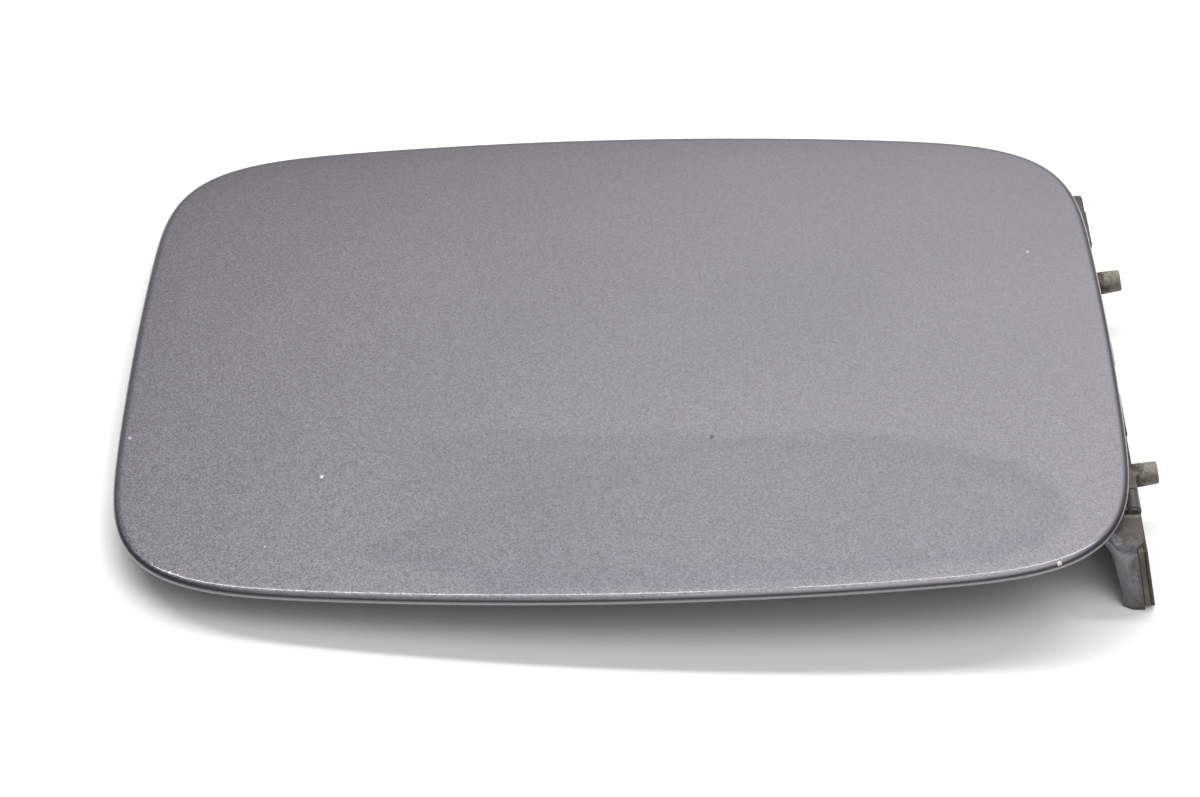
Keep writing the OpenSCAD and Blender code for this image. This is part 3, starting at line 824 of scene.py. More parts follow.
class Finish(Enum):
    """The finishes of the hinge, striker, buffers and inner panel."""

    INNER_PAINT = WornFinish("overspray on steel", "77767c", "6b6a70", "4c4740", 0.12, patch_mm=25, roughness=0.55)
    BRACKET_PAINT = WornFinish(
        "orange peel paint", "7d7c82", "66656a", "4a413a", 0.0,
        patch_mm=6, dirt_mm=0.9, grain_mm=0.7, grain_depth_mm=0.14, metallic=0.25, roughness=0.3, coat=1.0,
        dirt_blur=0.3,
    )
    # Dirty paint for the hinge strip, whose darker tone is also painted shade under the lid.
    SOILED_SHADED_PAINT = WornFinish(
        "soiled and shaded orange peel paint", "6c6a6c", "545355", "433a33", 0.42,
        patch_mm=12, dirt_mm=1.8, grain_mm=0.75, grain_depth_mm=0.07, metallic=0.2, roughness=0.4, coat=0.5,
        dirt_blur=0.35,
    )
    LEAF_STEEL = WornFinish(
        "dirty pressed steel", "6b655d", "524c45", "3a332c", 0.25,
        patch_mm=4, dirt_mm=1.4, grain_mm=0.5, grain_depth_mm=0.05, roughness=0.6,
    )
    GASKET = WornFinish(
        "dusty sealing strip", "5d5850", "47423b", "746c60", 0.25,
        patch_mm=2.5, dirt_mm=0.8, grain_mm=0.4, grain_depth_mm=0.06, roughness=0.9,
    )
    RUBBER = WornFinish("moulded rubber", "2a2a2b", "202021", "55514a", 0.1, grain_depth_mm=0.01, roughness=0.7)
    NYLON = WornFinish(
        "aged natural nylon", "a19a8e", "7e776c", "4a4037", 0.24,
        patch_mm=3, dirt_mm=0.9, grain_mm=0.4, grain_depth_mm=0.03, roughness=0.5, glow=0.25,
    )
    PLATED_STEEL = WornFinish(
        "dull zinc plate", "b4b1a6", "9c998f", "5d5648", 0.15,
        patch_mm=5, dirt_mm=1.0, grain_mm=0.3, grain_depth_mm=0.008, metallic=1.0, roughness=0.42,
    )
    SPRING_STEEL = WornFinish(
        "drawn spring wire", "8b8984", "6f6d69", "4a4238", 0.15, patch_mm=2, metallic=1.0, roughness=0.38
    )


def finish_piece(piece: bpy.types.Object, material: bpy.types.Material, slot: str, body: Body, *nodes: str) -> None:
    """Gives a piece its material and its body, and hides the CAD nodes that it stands for.

    Args:
        piece: The object.
        material: Its material.
        slot: The record's material slot; not used.
        body: The body that it moves with.
        nodes: CAD nodes that it replaces.
    """
    piece.data.materials.clear()
    piece.data.materials.append(material)
    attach(piece, body.value)
    if nodes:
        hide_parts(*nodes)
    log.info("%s rides on %s", piece.name, body.value)


# ---------------------------------------------------------------- the lid


@dataclass
class LidOutline:
    """The lid's plan and crown, in millimetres.

    The plan is a rectangle with superelliptic corners. Its sides fall back towards the corners with the
    square of the distance, and the top falls with the squares of x and y.
    """

    half_length: float = 100.0
    half_width: float = 75.0
    corner: float = 50.0
    power: float = 4.5
    end_bow: float = 1.9
    side_bow: float = 7.25
    crown_length: float = 0.8
    crown_width: float = 2.8

    def edge(self, count: int) -> np.ndarray:
        """Points evenly spaced along the edge, anticlockwise from the hinge side.

        Args:
            count: How many points to make.

        Returns:
            x and y of each point.
        """
        turn = np.linspace(0, math.pi / 2, 900)
        reach = np.abs(np.cos(turn)) ** (2 / self.power), np.abs(np.sin(turn)) ** (2 / self.power)
        corner = np.stack([
            self.half_length - self.corner + self.corner * reach[0],
            self.half_width - self.corner + self.corner * reach[1],
        ], -1)
        back = corner[::-1]
        plan = np.concatenate([corner, back * (-1, 1), corner * (-1, -1), back * (1, -1)])
        closed = np.concatenate([plan, plan[:1]])
        fine = np.concatenate([np.linspace(a, b, 12, endpoint=False) for a, b in zip(closed[:-1], closed[1:])])
        x, y = fine[:, 0], fine[:, 1]
        bowed = np.stack([
            x - self.end_bow * (y / self.half_width) ** 2 * x / self.half_length,
            y - self.side_bow * (x / self.half_length) ** 2 * y / self.half_width,
        ], -1)
        looped = np.concatenate([bowed, bowed[:1]])
        run = np.concatenate([[0], np.cumsum(np.linalg.norm(np.diff(looped, axis=0), axis=1))])
        want = np.arange(count) * run[-1] / count
        return np.stack([np.interp(want, run, looped[:, k]) for k in (0, 1)], -1)

    def inwards(self, edge: np.ndarray) -> np.ndarray:
        """The way in from each point of the edge: its neighbours' difference, turned by a quarter.

        Args:
            edge: x and y of the edge's points.

        Returns:
            Unit steps, one to a point.
        """
        along = np.roll(edge, -1, 0) - np.roll(edge, 1, 0)
        inward = np.stack([-along[:, 1], along[:, 0]], -1)
        return inward / np.linalg.norm(inward, axis=1, keepdims=True)

    def crown(self, x: Any, y: Any) -> Any:
        """Height of the top: less crown_length and crown_width times the squares of x and y's shares."""
        return -self.crown_length * (x / self.half_length) ** 2 - self.crown_width * (y / self.half_width) ** 2


@dataclass
class LidSkin:
    """The painted outer skin: crowned top, rolled edge and folded hem.

    Attributes:
        outline: The lid's plan and crown.
        sheet: Thickness of the skin.
        room: Room inside the hem.
        hem: Width of the hem.
        roll_in: How far in the roll's upper half starts.
        flat: Distance from the edge to the start of the evenly shrunk rings.
        fall: How much the top falls away towards the edge.
        fall_width: Width of the band where it falls.
        count: Points round the lid.
        reflection_rim: Boundary of the painted reflection, in lid millimetres.
        second_reflection_rim: Boundary of the paler painted reflection beside it.
    """

    outline: LidOutline
    sheet: float = 0.7
    room: float = 0.8
    hem: float = 8.0
    roll_in: float = 1.7
    flat: float = 12.0
    fall: float = 0.098
    fall_width: float = 10.0
    count: int = 620
    reflection_rim: tuple[Point, ...] = (
        (-41.9, -55.3), (-34.3, -53.1), (-26.7, -50.4), (-19.1, -47.1), (-11.4, -43.1), (-3.6, -40), (4.2, -37.3),
        (10.5, -34.3), (16, -31.9), (27.9, -31.2), (39.6, -31.2), (51.3, -32.5), (61, -34.7), (70.5, -38.1),
        (78, -41.3), (82.4, -45.4), (85.1, -50.9), (85.3, -56.4), (79.8, -62.9), (68.1, -67.2), (45.4, -70.5),
        (15.3, -72.5), (-22.3, -72.5), (-50, -62),
    )
    second_reflection_rim: tuple[Point, ...] = (
        (-60, -75), (-58, -48.7), (-52, -39), (-44, -31.1), (-35.4, -29.2), (-11.6, -29.8), (16, -30.7), (40, -40),
        (40, -72),
    )

    def stations(self) -> np.ndarray:
        """Rings of the closed sheet: share, inset, depth below the crown.

        The roll's lower half is a quarter circle whose radius is half the hem's thickness and its upper half
        a quarter ellipse that starts further in. The fold inside it is a half circle.

        Returns:
            One row to a ring.
        """
        thick = 2 * self.sheet + self.room
        roll, fold = thick / 2, self.room / 2
        rows = [(share, self.flat, 0.0) for share in np.linspace(0.02, 1.0, 34)]
        rows += [(1.0, inset, 0.0) for inset in (10.5, 9, 7.5, 6, 5, 4, 3.4, 2.9, 2.5, 2.2)]
        for angle in np.radians(np.linspace(90, -90, 25)):
            reach = self.roll_in if angle > 0 else roll
            rows.append((1.0, reach - reach * math.cos(angle), roll - roll * math.sin(angle)))
        rows += [(1.0, inset, thick) for inset in (2.6, 4.5, 6.5, self.hem - 0.25)]
        rows += [(1.0, self.hem - 0.06, thick - 0.08), (1.0, self.hem, thick - 0.25)]
        rows += [(1.0, self.hem, thick - self.sheet + 0.15), (1.0, self.hem - 0.2, thick - self.sheet)]
        for angle in np.radians(np.linspace(-90, 90, 7)):
            rows.append((1.0, roll - fold * math.cos(angle), roll - fold * math.sin(angle)))
        rows += [(1.0, self.flat, self.sheet)] + [(share, self.flat, self.sheet) for share in (0.7, 0.35, 0.02)]
        return np.array(rows)

    def build(self, lie: Lie) -> bpy.types.Object:
        """Makes the skin: each ring is the inset edge times its share, set down from the crown by its depth.

        Towards the edge the top falls away by the square of the nearness to it, which darkens it there.

        Args:
            lie: Places the skin.

        Returns:
            The skin, with the attributes that its lacquer reads.
        """
        edge = self.outline.edge(self.count)
        inward = self.outline.inwards(edge)
        rows = self.stations()
        plan = rows[:, 0, None, None] * (edge[None] + rows[:, 1, None, None] * inward[None])
        height = self.outline.crown(plan[..., 0], plan[..., 1]) - rows[:, 2, None]
        nearness = 1 - np.clip(rows[:, 1, None], 0, self.fall_width) / self.fall_width
        height += self.fall * (1 - nearness**2)
        rings = np.concatenate([plan, height[..., None]], -1).reshape(-1, 3)
        quads = grid_faces(len(rows), self.count, wrap=True)[:, ::-1]
        last = (len(rows) - 1) * self.count
        caps = [np.arange(self.count), last + np.arange(self.count)[::-1]]
        piece = mesh_object("lid_skin", lie.place(rings), quads, caps)
        top = np.repeat(rows[:, 2], self.count) <= 0.1
        # Depths inside the boundaries of the painted reflections.
        reflection_patch, second_patch = (
            np.where(top, self.depth_inside(rings[:, :2], rim), -60.0) for rim in (self.reflection_rim, self.second_reflection_rim)
        )
        level = smoothstep(rings[:, 0], -56, -26) * smoothstep(rings[:, 1], -75, -62)
        depth = np.repeat(rows[:, 2], self.count)
        at_edge = 1 - smoothstep(np.repeat(rows[:, 1], self.count), 1.2, 3.0)
        # The painted dark reflection sets in where the roll turns down, and the pale dust and painted table reflection
        # under its middle.
        attributes = {
            "reflection_depth": reflection_patch,
            "second_reflection_depth": second_patch,
            "second_reflection_level": level,
            "roll_painted_dark_reflection": 0.9 * at_edge * smoothstep(depth, 0.12, 0.38),
            "hem_dust_and_reflection": 0.9 * at_edge * smoothstep(depth, 0.95, 1.4),
        }
        for name, values in attributes.items():
            store_values(piece, name, values)
        return piece

    def depth_inside(self, points: np.ndarray, outline: Sequence[Point]) -> np.ndarray:
        """Distance to the nearest of a boundary's sides, negative where a ray crosses them an even number of times.

        Args:
            points: x and y of the lid's points.
            outline: The boundary's corners.

        Returns:
            The signed distance of each in millimetres.
        """
        rim = np.array(outline, float)
        ends = np.roll(rim, -1, 0)
        nearest = np.full(len(points), 1e9)
        crossings = np.zeros(len(points), int)
        for a, b in zip(rim, ends):
            run = b - a
            share = np.clip(((points - a) @ run) / (run @ run), 0, 1)
            nearest = np.minimum(nearest, np.linalg.norm(points - a - share[:, None] * run, axis=1))
            above = (a[1] > points[:, 1]) != (b[1] > points[:, 1])
            reach = a[0] + (points[:, 1] - a[1]) / (run[1] if run[1] else 1e-9) * run[0]
            crossings += above & (points[:, 0] < reach)
        return np.where(crossings % 2 == 1, nearest, -nearest)


@dataclass
class InnerPanel:
    """The pressed inner panel: rim in the hem, filleted slope, floor with a raised pad and drain holes.

    Attributes:
        outline: The lid's plan and crown.
        sheet: Thickness of the panel.
        rim: Width of its rim.
        slope: Width of the slope from rim to floor.
        floor_d: Depth of the floor's underside.
        rim_d: Depth of the rim's top.
        rim_inset: Distance from the lid's edge to the panel's.
        pad_share: The raised pad's size as a share of the floor.
        pad_h: Height of the pad.
        hole_r: Radius of the drain holes.
        hole_share: Place of the holes along and across, as shares of the floor.
        count: Points round the panel.
    """

    outline: LidOutline
    sheet: float = 0.6
    rim: float = 11.0
    slope: float = 4.0
    floor_d: float = 4.9
    rim_d: float = 0.8
    rim_inset: float = 1.7
    pad_share: float = 0.42
    pad_h: float = 1.0
    hole_r: float = 4.0
    hole_share: Point = (0.6, 0.62)
    count: int = 480

    def build(self, lie: Lie) -> bpy.types.Object:
        """Makes the panel's underside as rings and gives it its thickness upwards.

        Each ring is the inset edge times its share. Its depth blends from the crowned rim to the flat
        floor by a smooth step over the slope, and from the floor to the pad over a tenth of the plan.

        Args:
            lie: Places the panel.

        Returns:
            The panel.
        """
        edge = self.outline.edge(self.count)
        inward = self.outline.inwards(edge)
        floor_in = self.rim + self.slope
        shares = np.concatenate([np.linspace(0.02, 0.34, 12), np.linspace(0.355, 0.43, 8), np.linspace(0.45, 1, 34)])
        rows = [(share, floor_in) for share in shares]
        rows += [(1.0, inset) for inset in np.linspace(floor_in - 0.4, self.rim - 0.4, 11)]
        rows += [(1.0, inset) for inset in (9, 7, 5, 3.4, 2.4, self.rim_inset)]
        table = np.array(rows)
        plan = table[:, 0, None, None] * (edge[None] + table[:, 1, None, None] * inward[None])
        crown = self.outline.crown(plan[..., 0], plan[..., 1])
        to_rim = smoothstep(-table[:, 1], -floor_in, -self.rim)[:, None]
        pad = 1.0 - smoothstep(table[:, 0], self.pad_share * 0.85, self.pad_share)[:, None]
        under_rim = crown - self.rim_d - self.sheet
        under_floor = -self.floor_d + self.pad_h * pad
        height = under_floor * (1 - to_rim) + under_rim * to_rim
        rings = np.concatenate([plan, height[..., None]], -1).reshape(-1, 3)
        quads = grid_faces(len(table), self.count, wrap=True)
        reach = self.outline.half_length - floor_in, self.outline.half_width - floor_in
        hole_x, hole_y = (share * size for share, size in zip(self.hole_share, reach))
        for x in (-hole_x, hole_x):
            for y in (-hole_y, hole_y):
                quads = pierce(rings, quads, slice(0, 2), (x, y), self.hole_r)
        piece = mesh_object("lid_inner_panel", lie.place(rings), quads, [np.arange(self.count)[::-1]])
        add_wall(piece, "sheet", self.sheet)
        return piece


# ---------------------------------------------------------------- the hinge


def pressed_copy(
    source: bpy.types.Object, name: str, bevel_mm: float, half_span: float | None = None
) -> bpy.types.Object:
    """A copy of a CAD node with merged points, flat faces joined and its edges rounded.

    Args:
        source: The CAD node's object.
        name: Name of the copy.
        bevel_mm: Width of the rounded edges.
        half_span: Where to cut the copy off at both ends of the hinge, in millimetres, if at all.

    Returns:
        The new object.
    """
    mesh = source.data.copy()
    mesh.name = name
    work = bmesh.new()
    work.from_mesh(mesh)
    bmesh.ops.remove_doubles(work, verts=work.verts[:], dist=2e-6)
    if half_span is not None:
        for side in (-1, 1):
            bmesh.ops.bisect_plane(
                work,
                geom=work.verts[:] + work.edges[:] + work.faces[:],
                plane_co=(0, side * half_span / 1000, 0),
                plane_no=(0, side, 0),
                clear_outer=True,
            )
    bmesh.ops.dissolve_limit(
        work, angle_limit=math.radians(0.8), verts=work.verts[:], edges=work.edges[:], delimit={"NORMAL"}
    )
    work.to_mesh(mesh)
    work.free()
    mesh.shade_smooth()
    piece = bpy.data.objects.new(name, mesh)
    bpy.context.scene.collection.objects.link(piece)
    sharpen(piece, 32)
    add_bevel(piece, bevel_mm)
    return piece


@dataclass
class HingeLeg:
    """One end leg of the hinge bracket with its shoulder: a pressed sheet that turns down from the strip.

    Attributes:
        lie: Places the leg.
        side: -1 for the front leg, 1 for the rear one.
        half: Half the hinge's width.
        inner_end: Where the leg's sheet starts, from the hinge's middle.
        strip_top: Depth of the strip's top.
        foot_z: Height of the foot.
        foot_x: Place of the foot's free edge along the lid.
        bend: Radius of the bend from strip to leg.
        sheet: Thickness of the leg.
        spread: How much the leg widens from the foot to the strip.
        offset: Distance from the pin's axis to the line beside the leaf.
        crease_foot: Place of the crease at the foot.
        crease_bow: How much the crease bends.
        crease_power: The power of the height with which it bends.
        fold_x: Place of the flare's fold below the bend.
        fold_slope: How far the fold moves for each millimetre of height.
        edge_turn: Angle by which the sheet turns back beyond the crease.
        flare_turn: Angle by which it turns further beyond the fold.
        rows: Points down the leg.
        columns: Points across it.
    """

    lie: Lie
    side: int
    half: float = 58.0
    inner_end: float = 50.8
    strip_top: float = 6.9
    foot_z: float = -24.5
    foot_x: float = 97.27
    bend: float = 5.0
    sheet: float = 1.0
    spread: float = 6.4
    offset: float = 0.64
    crease_foot: float = 99.35
    crease_bow: float = 0.00613
    crease_power: float = 2.4
    fold_x: float = 95.5
    fold_slope: float = 0.12
    edge_turn: float = 32.0
    flare_turn: float = 34.0
    rows: int = 72
    columns: int = 34

    def path(self) -> tuple[np.ndarray, np.ndarray]:
        """The sheet's outer line seen along the lid: flat strip, quarter circle, straight leg.

        Returns:
            Distance from the hinge's middle and height, evenly spaced along the line.
        """
        flat = np.array([[self.inner_end, -self.strip_top], [self.half - self.bend, -self.strip_top]])
        turn = np.radians(np.linspace(90, 0, 40))[1:]
        curve = np.stack([
            self.half - self.bend + self.bend * np.cos(turn),
            -self.strip_top - self.bend + self.bend * np.sin(turn),
        ], -1)
        line = np.concatenate([flat, curve, [[self.half, self.foot_z]]])
        run = np.concatenate([[0], np.cumsum(np.linalg.norm(np.diff(line, axis=0), axis=1))])
        want = np.linspace(0, run[-1], self.rows)
        return np.interp(want, run, line[:, 0]), np.interp(want, run, line[:, 1])

    def build(self) -> bpy.types.Object:
        """Makes the leg.

        Across, the sheet runs from its flared free edge to the line beside the leaf. The crease bends
        towards the lid with a power of the height above the foot. Points beyond it turn back by
        edge_turn, which fades out over the bend, and points beyond the flare's fold turn further.

        Returns:
            The leg, with the attribute grime_and_shade, dirt and painted shade, that its paint reads.
        """
        away, height = self.path()
        share = np.clip((height - self.foot_z) / (-self.strip_top - 1 - self.foot_z), 0, 1)
        left = self.foot_x - self.spread * share**1.8
        lean = self.lie.lean
        drop = np.maximum(-(height + self.lie.axis_d) - self.offset * math.sin(lean), 0) / math.cos(lean)
        beside = self.lie.axis_x - self.offset * math.cos(lean) + drop * math.sin(lean)
        right = beside + (self.lie.axis_x + 1 - beside) * smoothstep(height, -9.4, -7.9)
        t = np.linspace(0, 1, self.columns)[None]
        x = left[:, None] + (right - left)[:, None] * t
        rise = np.maximum(height - self.foot_z - 0.2, 0)
        crease = self.crease_foot - self.crease_bow * rise**self.crease_power
        fold = self.fold_x - self.fold_slope * np.maximum(height + 15.0, 0)
        fade = 1 - smoothstep(height, -12.0, -6.9)
        turn = np.radians(self.edge_turn) * fade
        more = np.radians(self.flare_turn) * (1 - smoothstep(height, -9.5, -6.9))
        beyond = self.softened(crease[:, None] - x)
        flared = self.softened(fold[:, None] - x)
        x = x + beyond * (1 - np.cos(turn))[:, None] + flared * (np.cos(turn) - np.cos(turn + more))[:, None]
        inwards = beyond * np.sin(turn)[:, None] + flared * (np.sin(turn + more) - np.sin(turn))[:, None]
        y = np.repeat(away[:, None], self.columns, 1) - inwards
        z = np.repeat(height[:, None], self.columns, 1)
        points = np.stack([x, self.side * y, z], -1).reshape(-1, 3)
        quads = grid_faces(self.rows, self.columns, wrap=False)
        if self.side < 0:
            quads = quads[:, ::-1]
        name = "hinge_leg_front" if self.side < 0 else "hinge_leg_rear"
        piece = mesh_object(name, self.lie.place(points), quads)
        # Dirt gathers beside the leaf. Painted shade darkens the flat shoulder under the lid, and painted contact
        # shade with some dirt darkens the foot. Less dirt on the bend is partly a painted highlight.
        past = x - crease[:, None]
        face = smoothstep(past, -0.25, 0.35)
        bend = 1 - smoothstep(np.abs(z + 8.9), 0.8, 4.2)
        flange = (1 - face) * smoothstep(-z, 11.5, 14)
        shelf_shade = smoothstep(z, -9.4, -6.9)
        grime_and_shade = 0.36 + 0.24 * smoothstep(past, 0.2, 2.6) - 0.26 * bend - 0.16 * flange + 0.34 * shelf_shade
        # Painted contact shade, with some dirt, darkens the foot's lowest millimetre.
        grime_and_shade += 0.5 * smoothstep(-z, -self.foot_z - 0.9, -self.foot_z)
        store_values(piece, "grime_and_shade", grime_and_shade)
        add_wall(piece, "sheet", self.sheet)
        add_bevel(piece, 0.22, degrees=50)
        return piece

    @staticmethod
    def softened(beyond: np.ndarray) -> np.ndarray:
        """Distance d beyond a crease, 0 before it, rounded: half of d plus the root of its square and 0.25."""
        return 0.5 * (beyond + np.sqrt(beyond**2 + 0.25))


@dataclass
class Gasket:
    """The sealing strip on the leaf's outer face, cut by hand, with a slightly ragged edge.

    Attributes:
        lie: Places the strip.
        inner: Where it starts, out from the pin's axis.
        thick: Its thickness.
        half: Half its length.
        low: Its lower edge.
        top: Its upper edge.
        hole_r: Radius of the plugs' holes.
        plug_y: Place of the plugs from the hinge's middle.
        plug_z: Their height.
        ragged: How uneven the cut is.
    """

    lie: Lie
    inner: float = 0.5
    thick: float = 0.8
    half: float = 57.6
    low: float = -16.76
    top: float = -2.2
    hole_r: float = 3.0
    plug_y: float = 31.3
    plug_z: float = -6.0
    ragged: float = 0.34

    def build(self) -> bpy.types.Object:
        """Makes the strip: a grid between a lower and an upper edge, each moved in by the mean of 9 fixed draws.

        Returns:
            The strip.
        """
        rng = np.random.default_rng(4)
        columns, rows = 330, 34
        y = np.linspace(-self.half, self.half, columns)
        ragged = [np.convolve(rng.normal(0, self.ragged, columns + 8), np.ones(9) / 9, "valid") for _ in range(2)]
        low, top = self.low + np.abs(ragged[0]) * 0.9, self.top - np.abs(ragged[1]) * 0.9
        t = np.linspace(0, 1, rows)[:, None]
        z = low[None] * (1 - t) + top[None] * t
        points = np.stack([np.full_like(z, self.inner + self.thick), np.repeat(y[None], rows, 0), z], -1)
        points = points.reshape(-1, 3)
        quads = grid_faces(rows, columns, wrap=False)[:, ::-1]
        for side in (-1, 1):
            quads = pierce(points, quads, slice(1, 3), (side * self.plug_y, self.plug_z), self.hole_r)
        piece = mesh_object("gasket_strip", self.lie.place_leaf(points), quads[:, ::-1])
        add_wall(piece, "strip", self.thick)
        return piece


@dataclass
class NylonPlug:
    """A mounting plug: inner flange, neck, collar level with the gasket and blunt shank.

    Attributes:
        lie: Places the plug.
        side: -1 for the front plug, 1 for the rear one.
        radius: Radius of the shank.
        length: Its length outside the gasket.
        flange_r: Radius of the inner flange.
        flange: Thickness of the flange.
        bore: Radius of the screw's bore.
        leaf_half: Half the leaf's thickness.
        gasket: Thickness of the gasket.
        plug_y: Place of the plug from the hinge's middle.
        plug_z: Its height.
        root_mm: How far the dirt reaches out from the gasket.
    """

    lie: Lie
    side: int
    radius: float = 2.4
    length: float = 4.9
    flange_r: float = 3.0
    flange: float = 1.0
    bore: float = 1.25
    leaf_half: float = 0.5
    gasket: float = 0.8
    plug_y: float = 31.3
    plug_z: float = -6.0
    root_mm: float = 3.4

    def build(self) -> bpy.types.Object:
        """Makes the plug as a turned profile along the leaf's X, with dirt gathered at its root.

        Returns:
            The plug, with the attribute grime that its nylon reads.
        """
        inside = -self.leaf_half - self.flange
        outside = self.leaf_half + self.gasket
        tip = outside + self.length
        collar = self.radius + 0.5
        profile = rounded_profile([
            (0.0, tip - 1.0, 0), (self.bore, tip - 1.0, 0), (self.bore, inside, 0.15), (self.flange_r, inside, 0.2),
            (self.flange_r, -self.leaf_half, 0.1), (self.radius, -self.leaf_half, 0.05),
            (self.radius, self.leaf_half, 0.05), (collar, self.leaf_half, 0.05), (collar, outside, 0.12),
            (self.radius, outside, 0.1), (self.radius, outside + 1.0, 0.3), (self.radius - 0.13, tip, 0.42),
            (0.0, tip, 0),
        ])
        points, quads = lathe_points(profile, 64)
        turned = np.stack([points[:, 2], points[:, 1] + self.side * self.plug_y, -points[:, 0] + self.plug_z], -1)
        name = "plug_front_nylon" if self.side < 0 else "plug_rear_nylon"
        piece = mesh_object(name, self.lie.place_leaf(turned), quads)
        store_values(piece, "grime_and_shade", 0.32 * (1 - smoothstep(points[:, 2], outside, outside + self.root_mm)))
        close_solid(piece)
        return piece


@dataclass
class HingeSpring:
    """The torsion spring: a coil on the pin with a leg down the leaf and a leg under the strip.

    Attributes:
        lie: Places the spring.
        wire_r: Radius of the wire.
        turns: Whole turns of the coil.
        pin_r: Radius of the pin.
        reach: How far the lid leg reaches from the pin.
        strip_under: Depth of the strip's underside.
        leaf_leg: Length of the leg down the leaf.
    """

    lie: Lie
    wire_r: float = 0.4
    turns: int = 8
    pin_r: float = 0.76
    reach: float = 13.0
    strip_under: float = 7.9
    leaf_leg: float = 9.0

    def build(self) -> tuple[bpy.types.Object, bpy.types.Object]:
        """Makes the coil, a helix about the pin, with its leaf leg, and the lid leg that starts at its end.

        Returns:
            The coil, which rides on the leaf, and the lid leg.
        """
        lean = self.lie.lean
        coil_r = self.pin_r + self.wire_r + 0.15
        half = (2 * self.wire_r + 0.06) * self.turns / 2
        sweep = math.radians(360 * self.turns + 270) - lean
        f = np.linspace(0, 1, self.turns * 40)
        a = math.pi + lean - f * sweep
        coil = np.stack([coil_r * np.cos(a), half * (2 * f - 1), coil_r * np.sin(a)], -1)
        foot = np.array([
            -coil_r * math.cos(lean) + self.leaf_leg * math.sin(lean),
            -half,
            -coil_r * math.sin(lean) - self.leaf_leg * math.cos(lean),
        ])
        down = foot + np.linspace(0, 1, 12, endpoint=False)[:, None] * (coil[0] - foot)
        far = np.array([-self.reach, half, -self.strip_under - self.wire_r - 0.1 + self.lie.axis_d])
        under = coil[-1] + np.linspace(0, 1, 16)[:, None] * (far - coil[-1])
        pieces = []
        for name, path in (("spring_coil", np.concatenate([down, coil])), ("spring_lid_leg", under)):
            points, quads, caps = swept_wire(path, self.wire_r)
            pieces.append(mesh_object(name, self.lie.turned(points, self.lie.tilt), quads, caps))
        return pieces[0], pieces[1]


@dataclass
class Turned:
    """A turned piece: buffer, rivet or pin.

    Attributes:
        name: Name of the piece.
        corners: Distance from the axis, place along it and rounding of each corner.
        steps: Points round the axis.
    """

    name: str
    corners: tuple[tuple[float, float, float], ...]
    steps: int = 48

    def build(self, place: Any) -> bpy.types.Object:
        """Makes the piece.

        Args:
            place: Turns the lathe's points, axis along Z, into the frame's metres.

        Returns:
            The new object.
        """
        points, quads = lathe_points(rounded_profile(self.corners), self.steps)
        piece = mesh_object(self.name, place(points), quads)
        close_solid(piece)
        sharpen(piece, 38)
        return piece


# ---------------------------------------------------------------- assemblies


